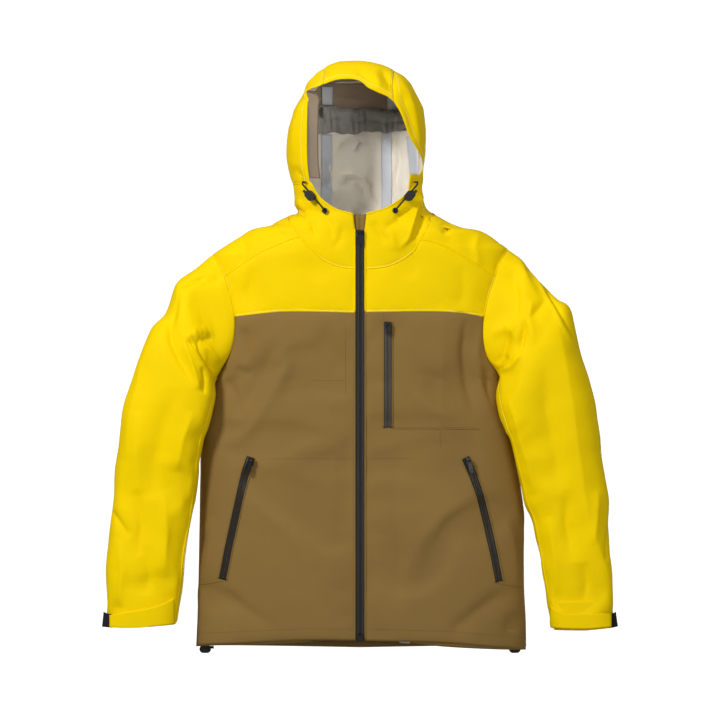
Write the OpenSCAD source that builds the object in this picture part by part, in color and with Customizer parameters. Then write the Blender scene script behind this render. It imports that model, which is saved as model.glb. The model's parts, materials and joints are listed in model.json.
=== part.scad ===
// Hooded hardshell jacket, closed, hanging upright with its front facing -Y.
// Heights are worked out up from the hem. Every sub-part is then moved so that
// the top of the hang loop, inside the back neck, is the origin.

/* [Body] */
// Width across the hem, side seam to side seam
hem_width = 600; // [580:5:620]
// Depth from the side seam forward to the chest
front_depth = 80; // [78:1:84]
// Depth from the side seam back to the shoulder blades
back_depth = 80; // [76:1:86]
// Thickness of the laminated fabric with its backing
fabric = 2; // [1.6:0.1:2.2]
// Gap left at each seam between two panels
seam_gap = 0.6; // [0.5:0.1:0.8]

/* [Hood] */
// Depth of the hood from the side seam forward to the face
hood_front = 95; // [92:1:98]
// Depth of the hood from the side seam to the back of the head
hood_back = 125; // [118:1:132]
// Width of the panel over the crown
crown_w = 124; // [116:2:128]

/* [Zips] */
// Height of the front zip's lower end above the hem level
zip_bottom = 29; // [28:1:31]
// Length of the front zip
zip_length = 736; // [726:1:738]
// Width of the front zip's two tapes together
zip_w = 15.4; // [15:0.1:15.8]
// Length of the chest pocket's zip
chest_zip_length = 190; // [170:5:195]
// Length of each hand pocket's zip
hand_zip_length = 229; // [215:1:235]
// Length of a zip pull
pull_length = 22; // [18:1:24]

/* [Cord locks] */
// Width of a cord lock's body
lock_w = 14; // [13.6:0.1:15]
// Length of a cord lock's body
lock_l = 21; // [20:0.5:22]
// Thickness of a cord lock's body
lock_t = 9; // [8:0.5:9]
// Diameter of the elastic cord
cord_d = 3; // [2.6:0.1:3]

/* [Hang loop] */
// Inner radius of the hang loop's arch
loop_r = 18; // [16:1:20]
// Width of the hang loop's tape
loop_w = 6; // [5:0.5:7]

/* [Hidden] */
$fn = 32;
yellow = "gold";
brown = "#8a6d3c";
black = "#2b2823";
lining = "#aca295";

wide = hem_width / 600;                 // every width follows the hem
loop_top = [0, 56, 790];                // the origin, in heights above the hem level
hood_mid = 930;                         // height of the hood's widest line
hood_rise = 143;                        // from there up to the crown
hood_half = 124 * wide;                 // half of the hood's width there
arm_low = 487;                          // height of the underarm point
arm_high = 732;                         // height of the shoulder tip
yoke_z = 618;                           // height of the seam under the yoke
hood_cut = 851;                         // the hood tips back above this height
seam_x = crown_w / 2;                   // the crown panel's seam

// Half width of the body by height
side_w = [[0, 301], [60, 299], [140, 295], [240, 291], [310, 288], [360, 282], [410, 274],
    [450, 265], [487, 258], [530, 261], [600, 265], [680, 266], [723, 265], [732, 263],
    [745, 240], [758, 215], [768, 190], [776, 163], [786, 142], [797, 125], [815, 118],
    [850, 120], [890, 123], [930, 124]];
// Depth forward of the side seam by height, from the chest up
front_d = [[0, 0], [770, 0], [800, 0.07], [830, 0.4], [870, 0.8], [930, 1]];
// Depth behind the side seam by height
back_d = [[0, -8], [300, -10], [500, -6], [620, 0], [700, -4], [745, -14], [775, -16],
    [800, -6], [830, 14], [880, 38], [930, 45]];
// How square the cross-section is by height
square_n = [[0, 2.6], [700, 2.6], [760, 2.4], [830, 2.2], [930, 2.2]];
// Where the armhole's edge lies by height
armhole = [[487, 258], [500, 251], [515, 245], [530, 238], [553, 228], [578, 224],
    [612, 224], [636, 229], [650, 232], [683, 243], [704, 248], [723, 258], [732, 263]];
// Top edge of the front yoke: the neckline, then the shoulder seam
yoke_top = [[8, 695], [30, 696], [71, 708], [99, 730], [107, 751], [125, 746],
    [151, 738], [200, 712], [243, 683]];
// Edge of the shoulder against the collar, by height
neck_line = [[748, 108.5], [757, 110.5], [776, 121.5], [787, 127], [795, 131]];
// Ridge of the shoulder, from the neck to the shoulder tip
ridge = [[0, 791], [125, 795], [142, 786], [163, 776], [190, 768], [215, 758],
    [240, 745], [263, 732]];
// Columns of the collar: x and height on the neckline, then on its upper edge
collar_columns = [[8.6, 695.8, 8.6, 795], [30, 697, 26, 799], [52, 702, 46, 804],
    [71, 709, 61, 813], [88, 721, 74, 824], [99, 732, 85, 838], [108, 757, 95, 849],
    [119, 776, 108, 849], [126, 797, 120.5, 849]];
// Half width of the face opening by height
face_w = [[795, 14], [802, 43], [816, 66], [827, 78], [849, 94], [881, 103], [929, 93],
    [960, 87], [987, 78], [1003, 70], [1020, 52], [1030, 34], [1036, 8]];
// Top edge of the face opening by distance from the middle
brim_z = [[0, 1036], [30, 1031], [45, 1022], [64, 1003]];
// Rings of the sleeve: outer x and height, inner x and height, half depth, middle y
sleeve = [[264, 732, 259, 487, 45, 0], [298, 704, 268, 470, 56, -5],
    [332, 670, 268, 452, 60, -10], [358, 632, 268, 437, 61, -16],
    [383, 587, 270, 420, 60, -22], [403, 525, 274, 402, 58, -27],
    [422, 460, 279, 380, 55, -32], [431, 400, 285, 350, 52, -35],
    [437, 350, 290, 320, 50, -38], [443, 293, 297, 284, 48, -40],
    [447, 240, 306, 240, 46, -42], [452, 176, 318, 172, 44, -44],
    [456, 125, 327, 124, 42, -46], [460, 80, 334, 84, 41, -47],
    [461, 53, 338, 56, 40, -48]];
sleeve_n = 2.2;
cap_end = 3;                            // the sleeve's cap ends at this ring
cuff_start = 12.4;                      // the cuff starts here
last_ring = len(sleeve) - 1;
under_half = 24;                        // half angle of the underarm panel

tape_y = -front_depth - 0.6;            // front face of the front zip's tapes
coil_y = -front_depth - 2.2;            // front face of the coil
hand_top = [192, -front_depth + 8.5, 357];
hand_low = [248, -front_depth + 22, 135];
chest_x = 50;
chest_top = 602;
cord_route = [[99.8, -60.8, 851], [102.6, -64.2, 850.9], [103, -66.6, 847.6], [99.5, -67.8, 843],
    [83.3, -74.4, 824], [68, -80.6, 806], [64.4, -81.6, 801.2], [63.5, -76, 800]];

// ---- curves ------------------------------------------------------------

function span(k, p, i = 0) = i >= len(p) - 2 || k < p[i + 1][0] ? i : span(k, p, i + 1);
function tangent(p, i) = let(a = max(i - 1, 0), b = min(i + 1, len(p) - 1))
    (p[b][1] - p[a][1]) / (p[b][0] - p[a][0]);
// A smooth curve through [key, value] pairs, level beyond its ends
function smooth(key, p) = let(
        k = max(p[0][0], min(p[len(p) - 1][0], key)),
        i = span(k, p), h = p[i + 1][0] - p[i][0], s = (k - p[i][0]) / h)
    (2 * s ^ 3 - 3 * s ^ 2 + 1) * p[i][1] + (s ^ 3 - 2 * s ^ 2 + s) * h * tangent(p, i)
    + (3 * s ^ 2 - 2 * s ^ 3) * p[i + 1][1] + (s ^ 3 - s ^ 2) * h * tangent(p, i + 1);
function mix(a, b, s) = a + (b - a) * s;
function steps(n) = [for (i = [0:n]) i / n];

// ---- the body's and the hood's one surface ---------------------------------

function dome(z) = z <= hood_mid ? 1
    : (1 - min(1, (z - hood_mid) / hood_rise) ^ 2.2) ^ (1 / 2.2);
function body_w(z) = z > hood_mid ? hood_half * dome(z) : wide * smooth(z, side_w);
function body_f(z) = mix(front_depth, hood_front, smooth(min(z, hood_mid), front_d)) * dome(z);
function body_b(z) = let(s = max(0, min(1, (z - 830) / 100)))
    (mix(back_depth, hood_back - 45, s) + smooth(min(z, hood_mid), back_d)) * dome(z);
function body_n(z) = smooth(z, square_n);
// The angle round the body, 0 at the front and 90 at the side seam, where it reaches x
function turn(x, z) = asin(min(1, x / body_w(z)) ^ (body_n(z) / 2));
function around(t, z, inset = 0) = let(
        e = 2 / body_n(z), s = sin(t), c = cos(t))
    [(body_w(z) - inset) * sign(s) * abs(s) ^ e,
     c >= 0 ? -(body_f(z) - inset) * c ^ e : (body_b(z) - inset) * (-c) ^ e, z];
function on_front(x, z, inset = 0) = around(turn(x, z), z, inset);
function arm_x(z) = wide * smooth(z, armhole);
function edge_turn(z) = z <= arm_low ? 90 : turn(arm_x(z), z);
function hem_z(t) = let(s = abs(sin(t)) ^ 0.77) cos(t) >= 0 ? 29 - 15 * s : 8 + 6 * s;
function crown(x, a) = let(g = (1 - (abs(x) / hood_half) ^ 2.2) ^ (1 / 2.2), c = cos(a))
    [x, c >= 0 ? -hood_front * g * c ^ 0.909 : hood_back * g * (-c) ^ 0.909,
     hood_mid + hood_rise * g * abs(sin(a)) ^ 0.909];
function brim_angle(x) = let(g = (1 - (abs(x) / hood_half) ^ 2.2) ^ (1 / 2.2),
        s = (smooth(abs(x), brim_z) - hood_mid) / hood_rise / g)
    asin(s ^ 1.1);

// ---- the sleeve's surface --------------------------------------------------

function ring_value(k, c) = smooth(k, [for (i = [0:last_ring]) [i, sleeve[i][c]]]);
function ring(k, a, out = 0) = let(
        o = [wide * ring_value(k, 0), 0, ring_value(k, 1)],
        i = [wide * ring_value(k, 2), 0, ring_value(k, 3)],
        half = (o - i) / 2, c = cos(a), s = sin(a), e = 2 / sleeve_n,
        r = half * (1 + out / norm(half)))
    (o + i) / 2 + r * sign(c) * abs(c) ^ e
    + [0, ring_value(k, 5) - (ring_value(k, 4) + out) * sign(s) * abs(s) ^ e, 0];
// The first ring is the armhole itself, a little outside the panels' edges
function armhole_ring(a) = let(
        z = mix(arm_low, arm_high, (1 + cos(a)) / 2),
        p = on_front(arm_x(z), z), q = around(180 - turn(arm_x(z), z), z))
    (sin(a) >= 0 ? p : q) + [2 * seam_gap, 0, cos(a)];
function arm(k, a, out = 0) = k >= 1 ? ring(k, a, out) : mix(armhole_ring(a), ring(1, a), k);

// ---- shapes ----------------------------------------------------------------

function normal_at(g, i, j) = let(
        a = g[j][min(i + 1, len(g[0]) - 1)] - g[j][max(i - 1, 0)],
        b = g[min(j + 1, len(g) - 1)][i] - g[max(j - 1, 0)][i], c = cross(a, b))
    c / norm(c);

// A sheet of one thickness whose outer face runs through a grid of points
module sheet(g, thick = fabric) {
    nu = len(g[0]) - 1;
    nv = len(g) - 1;
    n = (nu + 1) * (nv + 1);
    outer = [for (j = [0:nv]) for (i = [0:nu]) g[j][i]];
    inner = [for (j = [0:nv]) for (i = [0:nu]) g[j][i] - thick * normal_at(g, i, j)];
    function at(i, j) = j * (nu + 1) + i;
    function rim(a, b) = [[a, b, n + b], [a, n + b, n + a]];
    faces = [
        for (j = [0:nv - 1]) for (i = [0:nu - 1]) each [
            [at(i, j), at(i, j + 1), at(i + 1, j + 1)],
            [at(i, j), at(i + 1, j + 1), at(i + 1, j)],
            [n + at(i, j), n + at(i + 1, j + 1), n + at(i, j + 1)],
            [n + at(i, j), n + at(i + 1, j), n + at(i + 1, j + 1)]],
        for (i = [0:nu - 1]) each concat(rim(at(i, 0), at(i + 1, 0)),
            rim(at(i + 1, nv), at(i, nv))),
        for (j = [0:nv - 1]) each concat(rim(at(0, j + 1), at(0, j)),
            rim(at(nu, j), at(nu, j + 1)))];
    polyhedron(concat(outer, inner), faces, convexity = 8);
}

// A round tube along a route, with its two ends closed
module tube(route, r, sides = 8) {
    n = len(route) - 1;
    function way(i) = let(v = route[min(i + 1, n)] - route[max(i - 1, 0)]) v / norm(v);
    function across(i) = let(v = cross(way(i), [0, 1, 0])) v / norm(v);
    points = [for (i = [0:n]) for (k = [0:sides - 1]) let(
            a = across(i), b = cross(way(i), a), t = 360 * k / sides)
        route[i] + r * (a * cos(t) + b * sin(t))];
    faces = [
        for (i = [0:n - 1]) for (k = [0:sides - 1]) let(
                a = i * sides + k, b = i * sides + (k + 1) % sides) each [
            [a, b, b + sides], [a, b + sides, a + sides]],
        for (k = [1:sides - 2]) each [
            [0, k + 1, k], [n * sides, n * sides + k, n * sides + k + 1]]];
    polyhedron(points, faces, convexity = 4);
}

module place() { translate(-loop_top) children(); }
module mirrored() { mirror([1, 0, 0]) children(); }

// Puts a shape drawn with +Z up and -Y outward at p, along up, facing out
module facing(p, up, out) {
    z = up / norm(up);
    x = cross(z, out) / norm(cross(z, out));
    y = cross(z, x);
    multmatrix([[x[0], y[0], z[0], p[0]], [x[1], y[1], z[1], p[1]], [x[2], y[2], z[2], p[2]]])
        children();
}

// ---- panels ------------------------------------------------------------------

module front_panel() {
    top = yoke_z - seam_gap;
    sheet([for (v = steps(13)) [for (u = steps(10))
        let(z = mix(29 - 15 * u, top, v))
        around(mix(turn(zip_w / 2 + seam_gap, z), edge_turn(z) - 0.3, u), z)]]);
}

module front_yoke() {
    x0 = zip_w / 2 + seam_gap;
    sheet([for (v = steps(7)) [for (u = steps(14))
        let(reach = mix(x0, 243, u),
            z = mix(yoke_z + seam_gap, lookup(reach, yoke_top) - seam_gap, v),
            x = mix(x0, arm_x(min(z, 683)) - seam_gap, u))
        on_front(x, z)]]);
}

// A patch between four edges: the shoulder seam, the ridge, the neckline and the armhole
module shoulder() {
    function low(u) = let(x = mix(108.5, 243, u), z = lookup(x, yoke_top) + seam_gap)
        [turn(min(x, arm_x(z) - seam_gap), z), z];
    function high(u) = [89.6, lookup(mix(127, 263, u), ridge)];
    function neck(v) = let(z = mix(low(0)[1], high(0)[1], v))
        [min(89.6, turn(lookup(z, neck_line), z)), z];
    function armhole_side(v) = let(z = mix(low(1)[1], high(1)[1], v))
        [min(89.6, turn(arm_x(z) - seam_gap, z)), z];
    sheet([for (v = steps(8)) [for (u = steps(8)) let(
        p = mix(low(u), high(u), v) + mix(neck(v), armhole_side(v), u)
            - mix(mix(low(0), low(1), u), mix(high(0), high(1), u), v))
        around(p[0], p[1])]]);
}

module back_panel_sheet() {
    top = yoke_z - seam_gap;
    sheet([for (v = steps(12)) [for (u = steps(16))
        let(side = 2 * u - 1, z = mix(hem_z(180 + 90 * side), top, v))
        around(180 + side * (edge_turn(z) - 0.3), z)]]);
}

module back_yoke_sheet() {
    sheet([for (v = steps(8)) [for (u = steps(18))
        let(side = 1 - 2 * u, x0 = abs(side) * 263,
            z = mix(yoke_z + seam_gap, lookup(x0, ridge) - seam_gap, 1 - (1 - v) ^ 1.6),
            x = abs(side) * (arm_x(min(z, arm_high)) - seam_gap),
            t = min(89.4, turn(x, z)))
        around(180 - sign(side) * t, z)]]);
}

module collar() {
    sheet([for (v = steps(6)) [for (c = collar_columns)
        let(z = mix(c[1] + 2 * seam_gap, c[3], v), x = mix(c[0], c[2], v))
        around(min(89, turn(x, z)), z)]]);
}

module hood_nape() {
    color(yellow) place() sheet([for (v = steps(4)) [for (u = steps(14))
        around(mix(93, 267, u), mix(799, hood_cut - 2, v))]]);
}

module hood_side() {
    sheet([for (v = steps(12)) [for (u = steps(12))
        let(z = mix(hood_cut, 1054, v), seam = turn(seam_x + seam_gap, z))
        around(mix(max(turn(smooth(z, face_w), z), seam), 180 - seam, u), z)]]);
}

module hood_centre() {
    half = seam_x - seam_gap;
    columns = [for (u = steps(6)) mix(-half, half, u)];
    color(yellow) place() sheet(concat(
        [for (v = steps(12)) [for (x = columns) crown(x, mix(brim_angle(x), 180, v))]],
        [for (v = [1:4]) [for (x = columns)
            let(z = mix(hood_mid, hood_cut, v / 4)) around(180 - sign(x) * turn(abs(x), z), z)]]));
}

// Facing sewn under the brim's edge
module hood_brim() {
    color("#786455") place() sheet([for (v = steps(3)) [for (u = steps(6))
        let(x = mix(-56, 56, u), p = crown(x, mix(brim_angle(x) + 3, brim_angle(x) + 17, v)))
        p - 5 * (p - [x, 0, hood_mid]) / norm(p - [x, 0, hood_mid])]], 1.2);
}

// Channel for the hood's adjusting cord, across the inside of the crown
module hood_tunnel() {
    color("#4c4845") place() sheet([for (v = steps(2)) [for (u = steps(10))
        around(mix(112, 248, u), mix(950, 975, v), 7)]], 1.5);
}

module sleeve_cap() {
    sheet([for (k = [0, 0.5, 1, 2, cap_end - 0.06]) [for (u = steps(20)) arm(k, mix(1, 359, u))]]);
}

module sleeve_top() {
    sheet([for (v = steps(13)) [for (u = steps(16))
        arm(mix(cap_end, cuff_start - 0.02, v), mix(under_half - 180, 180 - under_half, u))]]);
}

module sleeve_under() {
    sheet([for (v = steps(13)) [for (u = steps(3))
        arm(mix(cap_end, cuff_start - 0.02, v), 180 + mix(2.4 - under_half, under_half - 2.4, u))]]);
}

module cuff() {
    sheet([for (v = steps(3)) [for (u = steps(20))
        arm(mix(cuff_start, last_ring, v), mix(1, 359, u))]]);
}

// Strap that closes over the cuff: sewn on at the inner side, free at the outer side
module cuff_tab() {
    sheet([for (v = steps(3)) [for (u = steps(9))
        arm(mix(mix(13.2, 12.5, u), 13.85, v), mix(33, 152, u), 2.6)]], 1.8);
}

// Loop tape that the strap's tip fastens to
module cuff_patch() {
    sheet([for (v = steps(2)) [for (u = steps(4)) arm(mix(13.25, 13.9, v), mix(-8, 31, u), 2.2)]],
        1.6);
}

module hem_band() {
    x0 = turn(24, 40);
    color(brown) place() sheet([for (v = steps(1)) [for (u = steps(24))
        let(t = mix(x0, 360 - x0, u)) around(t, hem_z(t) + mix(5, 24, v), 4)]], 1.2);
}

// ---- zips ------------------------------------------------------------------

module front_zip_half() {
    half = zip_w / 2;
    translate([2.9, tape_y, zip_bottom]) cube([half - 2.9, 1.4, zip_length]);
    translate([0.35, coil_y, zip_bottom + 10]) cube([2.3, 2.6, zip_length - 10]);
}

// Box at the lower end, in two halves' width, with the pin that enters it
module front_zip_box() {
    color(black) place() {
        translate([-6.5, coil_y - 2.4, zip_bottom - 2]) cube([13, 2, 11]);
        translate([-1.6, coil_y - 0.2, zip_bottom]) cube([3.2, 2.2, 9.5]);
    }
}

// Inner flap behind the zip, whose top end guards the chin
module storm_flap() {
    color(brown) place() translate([-20, -front_depth + 4, 36]) cube([40, 1.4, 757]);
}

// A slider on a zip at the origin, with lugs that hold a bar across it
bar_y = -6.4;
module slider_body() {
    difference() {
        union() {
            translate([-4.6, -4.2, -7]) cube([9.2, 3.6, 14]);
            for (s = [-1, 1]) translate([s * 3.7 - 0.6, bar_y - 1.8, -0.5]) cube([1.2, 5, 4.6]);
        }
        translate([-5, bar_y, 1.8]) rotate([0, 90, 0]) cylinder(r = 1, h = 10, $fn = 24);
        for (s = [-1, 1]) translate([s * 6.4, -3, -4.5]) rotate([0, 0, 45])
            cube([3, 3, 12], center = true);
    }
    translate([-4.3, bar_y, 1.8]) rotate([0, 90, 0]) cylinder(r = 1, h = 8.6, $fn = 24);
}

// A pull that hangs from the slider's bar
module slider_pull(length = pull_length) {
    translate([0, bar_y, 1.8]) difference() {
        union() {
            rotate([0, 90, 0]) cylinder(r = 2.2, h = 4.4, center = true, $fn = 24);
            translate([-2.2, -0.9, -6]) cube([4.4, 1.8, 6]);
            translate([0, 0.9, -length + 4]) rotate([90, 0, 0]) cylinder(r = 4, h = 1.8, $fn = 24);
            translate([-4, -0.9, -length + 4]) cube([8, 1.8, length - 9.5]);
        }
        rotate([0, 90, 0]) cylinder(r = 1.4, h = 6, center = true, $fn = 24);
        translate([0, 2, -length + 4]) rotate([90, 0, 0]) cylinder(r = 1.6, h = 4, $fn = 24);
    }
}

module at_front_slider() { translate([0, coil_y, 758]) children(); }
module at_chest_slider() { translate([chest_x, -front_depth - 2.8, chest_top - 9]) children(); }
module at_hand_zip() { facing(hand_top, hand_top - hand_low, [0.26, -1, 0]) children(); }
module at_hand_slider() { at_hand_zip() translate([0, -1.2, -8]) children(); }

module straight_zip(w, length) {
    for (s = [-1, 1]) translate([s * (w / 4 + 0.1) - w / 4 + 0.2, -0.6, -length])
        cube([w / 2 - 0.4, 1.2, length]);
}

// ---- pocket bags -------------------------------------------------------------

module bag(x0, x1, z0, z1, inset) {
    sheet([for (v = steps(3)) [for (u = steps(6))
        on_front(mix(x0, x1, u), mix(z0, z1, v), inset)]], 1.6);
}

// ---- cords and locks ---------------------------------------------------------

button_x = 6.2;                         // the button's axis, beside the cord
socket_z = 1;                           // the floor of the button's socket
cord_way = cord_route[3] - cord_route[5];
lock_at = mix(cord_route[3], cord_route[5], 0.38);
module at_hood_lock() { facing(lock_at, cord_way, [0.55, -1, 0]) children(); }

// A flat body with round ends: a bore for the cord along it, and beside that a
// blind socket, open at the upper end, for its button
module lock_body() {
    half = lock_l / 2 - lock_w / 2;
    difference() {
        translate([3, 0, 0]) {
            cube([lock_w, lock_t, 2 * half], center = true);
            for (s = [-half, half]) translate([0, lock_t / 2, s]) rotate([90, 0, 0])
                cylinder(r = lock_w / 2, h = lock_t);
        }
        translate([0, 0, -lock_l]) cylinder(r = 2.2, h = 2 * lock_l);
        translate([button_x, 0, socket_z]) cylinder(r = 2.9, h = lock_l);
    }
}

module lock_button() {
    translate([button_x, 0, socket_z + 4.2]) cylinder(r = 2.5, h = 10.5);
}

module eyelet() {
    rotate([90, 0, 0]) rotate_extrude() translate([4.4, 0]) circle(r = 1, $fn = 16);
}

module hood_eyelets() {
    color(black) place() for (m = [0, 1]) mirror([m, 0, 0]) {
        translate([63.5, -77.4, 800]) rotate([0, 0, 24]) eyelet();
        translate([101, -62.2, 851]) rotate([0, 0, 40]) rotate([-12, 0, 0]) eyelet();
    }
}

module at_hem_lock() { translate([280, 4, 6]) rotate([0, -90, 0]) children(); }

module hang_loop() {
    color(black) place() translate([0, loop_top[1] + loop_w / 2, loop_top[2] - loop_r]) {
        rotate([90, 0, 0]) rotate_extrude(angle = 180) translate([loop_r, 0]) square([1.4, loop_w]);
        for (s = [-1, 1]) translate([s * (loop_r + 0.7) - 0.7, -loop_w, -14]) cube([1.4, loop_w, 14]);
    }
}

// ---- sub-parts ---------------------------------------------------------------

module front_panel_left() { color(brown) place() front_panel(); }
module front_panel_right() { color(brown) place() mirrored() front_panel(); }
module front_yoke_left() { color(yellow) place() front_yoke(); }
module front_yoke_right() { color(yellow) place() mirrored() front_yoke(); }
module shoulder_left() { color(yellow) place() shoulder(); }
module shoulder_right() { color(yellow) place() mirrored() shoulder(); }
module back_panel() { color(brown) place() back_panel_sheet(); }
module back_yoke() { color(yellow) place() back_yoke_sheet(); }
module collar_left() { color(yellow) place() collar(); }
module collar_right() { color(yellow) place() mirrored() collar(); }
module hood_side_left() { color(yellow) place() hood_side(); }
module hood_side_right() { color(yellow) place() mirrored() hood_side(); }
module sleeve_cap_left() { color(yellow) place() sleeve_cap(); }
module sleeve_cap_right() { color(yellow) place() mirrored() sleeve_cap(); }
module sleeve_top_left() { color(yellow) place() sleeve_top(); }
module sleeve_top_right() { color(yellow) place() mirrored() sleeve_top(); }
module sleeve_under_left() { color(yellow) place() sleeve_under(); }
module sleeve_under_right() { color(yellow) place() mirrored() sleeve_under(); }
module cuff_left() { color(yellow) place() cuff(); }
module cuff_right() { color(yellow) place() mirrored() cuff(); }
module cuff_tab_left() { color(yellow) place() cuff_tab(); }
module cuff_tab_right() { color(yellow) place() mirrored() cuff_tab(); }
module cuff_patch_left() { color(black) place() cuff_patch(); }
module cuff_patch_right() { color(black) place() mirrored() cuff_patch(); }
module front_zip_left() { color(black) place() front_zip_half(); }
module front_zip_right() { color(black) place() mirrored() front_zip_half(); }
module front_slider() { color(black) place() at_front_slider() slider_body(); }
module front_pull() { color(black) place() at_front_slider() slider_pull(); }
module chest_zip() {
    color(black) place() translate([chest_x, -front_depth - 1.6, chest_top])
        straight_zip(14, chest_zip_length);
}
module chest_slider() { color(black) place() at_chest_slider() slider_body(); }
module chest_pull() { color(black) place() at_chest_slider() slider_pull(17); }
module hand_zip_left() { color(black) place() at_hand_zip() straight_zip(13, hand_zip_length); }
module hand_zip_right() {
    color(black) place() mirrored() at_hand_zip() straight_zip(13, hand_zip_length);
}
module hand_slider_left() { color(black) place() at_hand_slider() slider_body(); }
module hand_slider_right() { color(black) place() mirrored() at_hand_slider() slider_body(); }
module hand_pull_left() { color(black) place() at_hand_slider() slider_pull(); }
module hand_pull_right() { color(black) place() mirrored() at_hand_slider() slider_pull(); }
module chest_bag() { color(lining) place() bag(64, 205, 415, 600, 5); }
module hand_bag_left() { color(lining) place() bag(80, 240, 95, 350, 7); }
module hand_bag_right() { color(lining) place() mirrored() bag(80, 240, 95, 350, 7); }
module hood_cord_left() { color(black) place() tube(cord_route, cord_d / 2); }
module hood_cord_right() { color(black) place() mirrored() tube(cord_route, cord_d / 2); }
module hood_lock_left() { color(black) place() at_hood_lock() lock_body(); }
module hood_lock_right() { color(black) place() mirrored() at_hood_lock() lock_body(); }
module hood_button_left() { color(black) place() at_hood_lock() lock_button(); }
module hood_button_right() { color(black) place() mirrored() at_hood_lock() lock_button(); }
module hem_lock_left() { color(black) place() at_hem_lock() lock_body(); }
module hem_lock_right() { color(black) place() mirrored() at_hem_lock() lock_body(); }
module hem_button_left() { color(black) place() at_hem_lock() lock_button(); }
module hem_button_right() { color(black) place() mirrored() at_hem_lock() lock_button(); }

front_panel_left();
front_panel_right();
front_yoke_left();
front_yoke_right();
shoulder_left();
shoulder_right();
back_panel();
back_yoke();
collar_left();
collar_right();
hood_nape();
hood_side_left();
hood_side_right();
hood_centre();
hood_brim();
hood_tunnel();
sleeve_cap_left();
sleeve_cap_right();
sleeve_top_left();
sleeve_top_right();
sleeve_under_left();
sleeve_under_right();
cuff_left();
cuff_right();
cuff_tab_left();
cuff_tab_right();
cuff_patch_left();
cuff_patch_right();
front_zip_left();
front_zip_right();
front_zip_box();
storm_flap();
front_slider();
front_pull();
chest_zip();
chest_slider();
chest_pull();
hand_zip_left();
hand_zip_right();
hand_slider_left();
hand_slider_right();
hand_pull_left();
hand_pull_right();
chest_bag();
hand_bag_left();
hand_bag_right();
hood_cord_left();
hood_cord_right();
hood_lock_left();
hood_lock_right();
hood_button_left();
hood_button_right();
hood_eyelets();
hem_band();
hem_lock_left();
hem_lock_right();
hem_button_left();
hem_button_right();
hang_loop();
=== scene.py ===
import json
import math

import bpy
import numpy as np
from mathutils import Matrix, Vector
from mathutils.bvhtree import BVHTree

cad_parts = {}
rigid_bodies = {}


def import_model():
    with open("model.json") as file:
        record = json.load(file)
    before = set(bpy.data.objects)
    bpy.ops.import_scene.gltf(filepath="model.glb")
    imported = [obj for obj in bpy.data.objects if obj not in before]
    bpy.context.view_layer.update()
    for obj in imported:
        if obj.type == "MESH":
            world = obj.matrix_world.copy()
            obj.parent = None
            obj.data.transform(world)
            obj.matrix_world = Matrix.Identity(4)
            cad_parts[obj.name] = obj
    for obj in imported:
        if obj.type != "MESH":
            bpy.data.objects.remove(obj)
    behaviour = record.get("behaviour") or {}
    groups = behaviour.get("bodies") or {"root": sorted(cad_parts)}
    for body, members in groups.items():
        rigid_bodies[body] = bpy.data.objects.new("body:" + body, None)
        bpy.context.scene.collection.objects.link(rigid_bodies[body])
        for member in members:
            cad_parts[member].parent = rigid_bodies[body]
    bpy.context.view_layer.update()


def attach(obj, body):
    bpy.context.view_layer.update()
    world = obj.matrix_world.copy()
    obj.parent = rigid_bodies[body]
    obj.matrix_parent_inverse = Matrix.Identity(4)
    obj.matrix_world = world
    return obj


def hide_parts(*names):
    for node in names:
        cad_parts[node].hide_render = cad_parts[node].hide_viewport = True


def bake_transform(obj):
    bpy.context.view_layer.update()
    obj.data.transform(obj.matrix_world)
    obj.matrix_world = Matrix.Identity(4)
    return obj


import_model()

# Lengths below are millimetres and heights are counted up from the hem, as in the CAD part.
# +1 is the wearer's left, at +X, and -1 the wearer's right.
ORIGIN = np.array([0.0, 56.0, 790.0])
LEFT, RIGHT = 1, -1
SIDES = ((LEFT, "left"), (RIGHT, "right"))


def metres(p):
    return (np.asarray(p, float) - ORIGIN) / 1000


# ---- camera, floor and light ---------------------------------

scene = bpy.context.scene
scene.view_settings.view_transform = "Standard"

PICTURE_WIDE = 1.296  # metres across the picture at the jacket
CAMERA_AWAY = 9.0
JACKET_MIDDLE = (0.0, -0.10, -0.258)

camera = bpy.data.objects.new("camera", bpy.data.cameras.new("camera"))
scene.collection.objects.link(camera)
camera.data.lens = camera.data.sensor_width * CAMERA_AWAY / PICTURE_WIDE
camera.location = (JACKET_MIDDLE[0], JACKET_MIDDLE[1] - CAMERA_AWAY, JACKET_MIDDLE[2])
camera.rotation_euler = (math.pi / 2, 0, 0)
scene.camera = camera


def area_light(name, place, target, size, power):
    lamp = bpy.data.lights.new(name, "AREA")
    lamp.shape, lamp.size, lamp.energy = "SQUARE", size, power
    o = bpy.data.objects.new(name, lamp)
    scene.collection.objects.link(o)
    o.location = place
    o.rotation_euler = (Vector(target) - Vector(place)).to_track_quat("-Z", "Y").to_euler()


area_light("key", (-1.9, -2.5, 1.7), (0, 0, -0.25), 0.6, 92)
area_light("fill", (1.3, -3.3, 0.0), (0, 0, -0.3), 1.5, 34)
area_light("back", (0.3, 3.3, -0.5), (0, 0, -0.4), 1.6, 70)
area_light("top", (0.4, 0.1, 2.2), (0, 0, -0.2), 1.2, 8)

world = bpy.data.worlds.new("studio")
world.use_nodes = True
world.node_tree.nodes["Background"].inputs["Color"].default_value = (1, 1, 1, 1)
world.node_tree.nodes["Background"].inputs["Strength"].default_value = 0.26
scene.world = world

# ---- curves --------------------------------------------------


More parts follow.
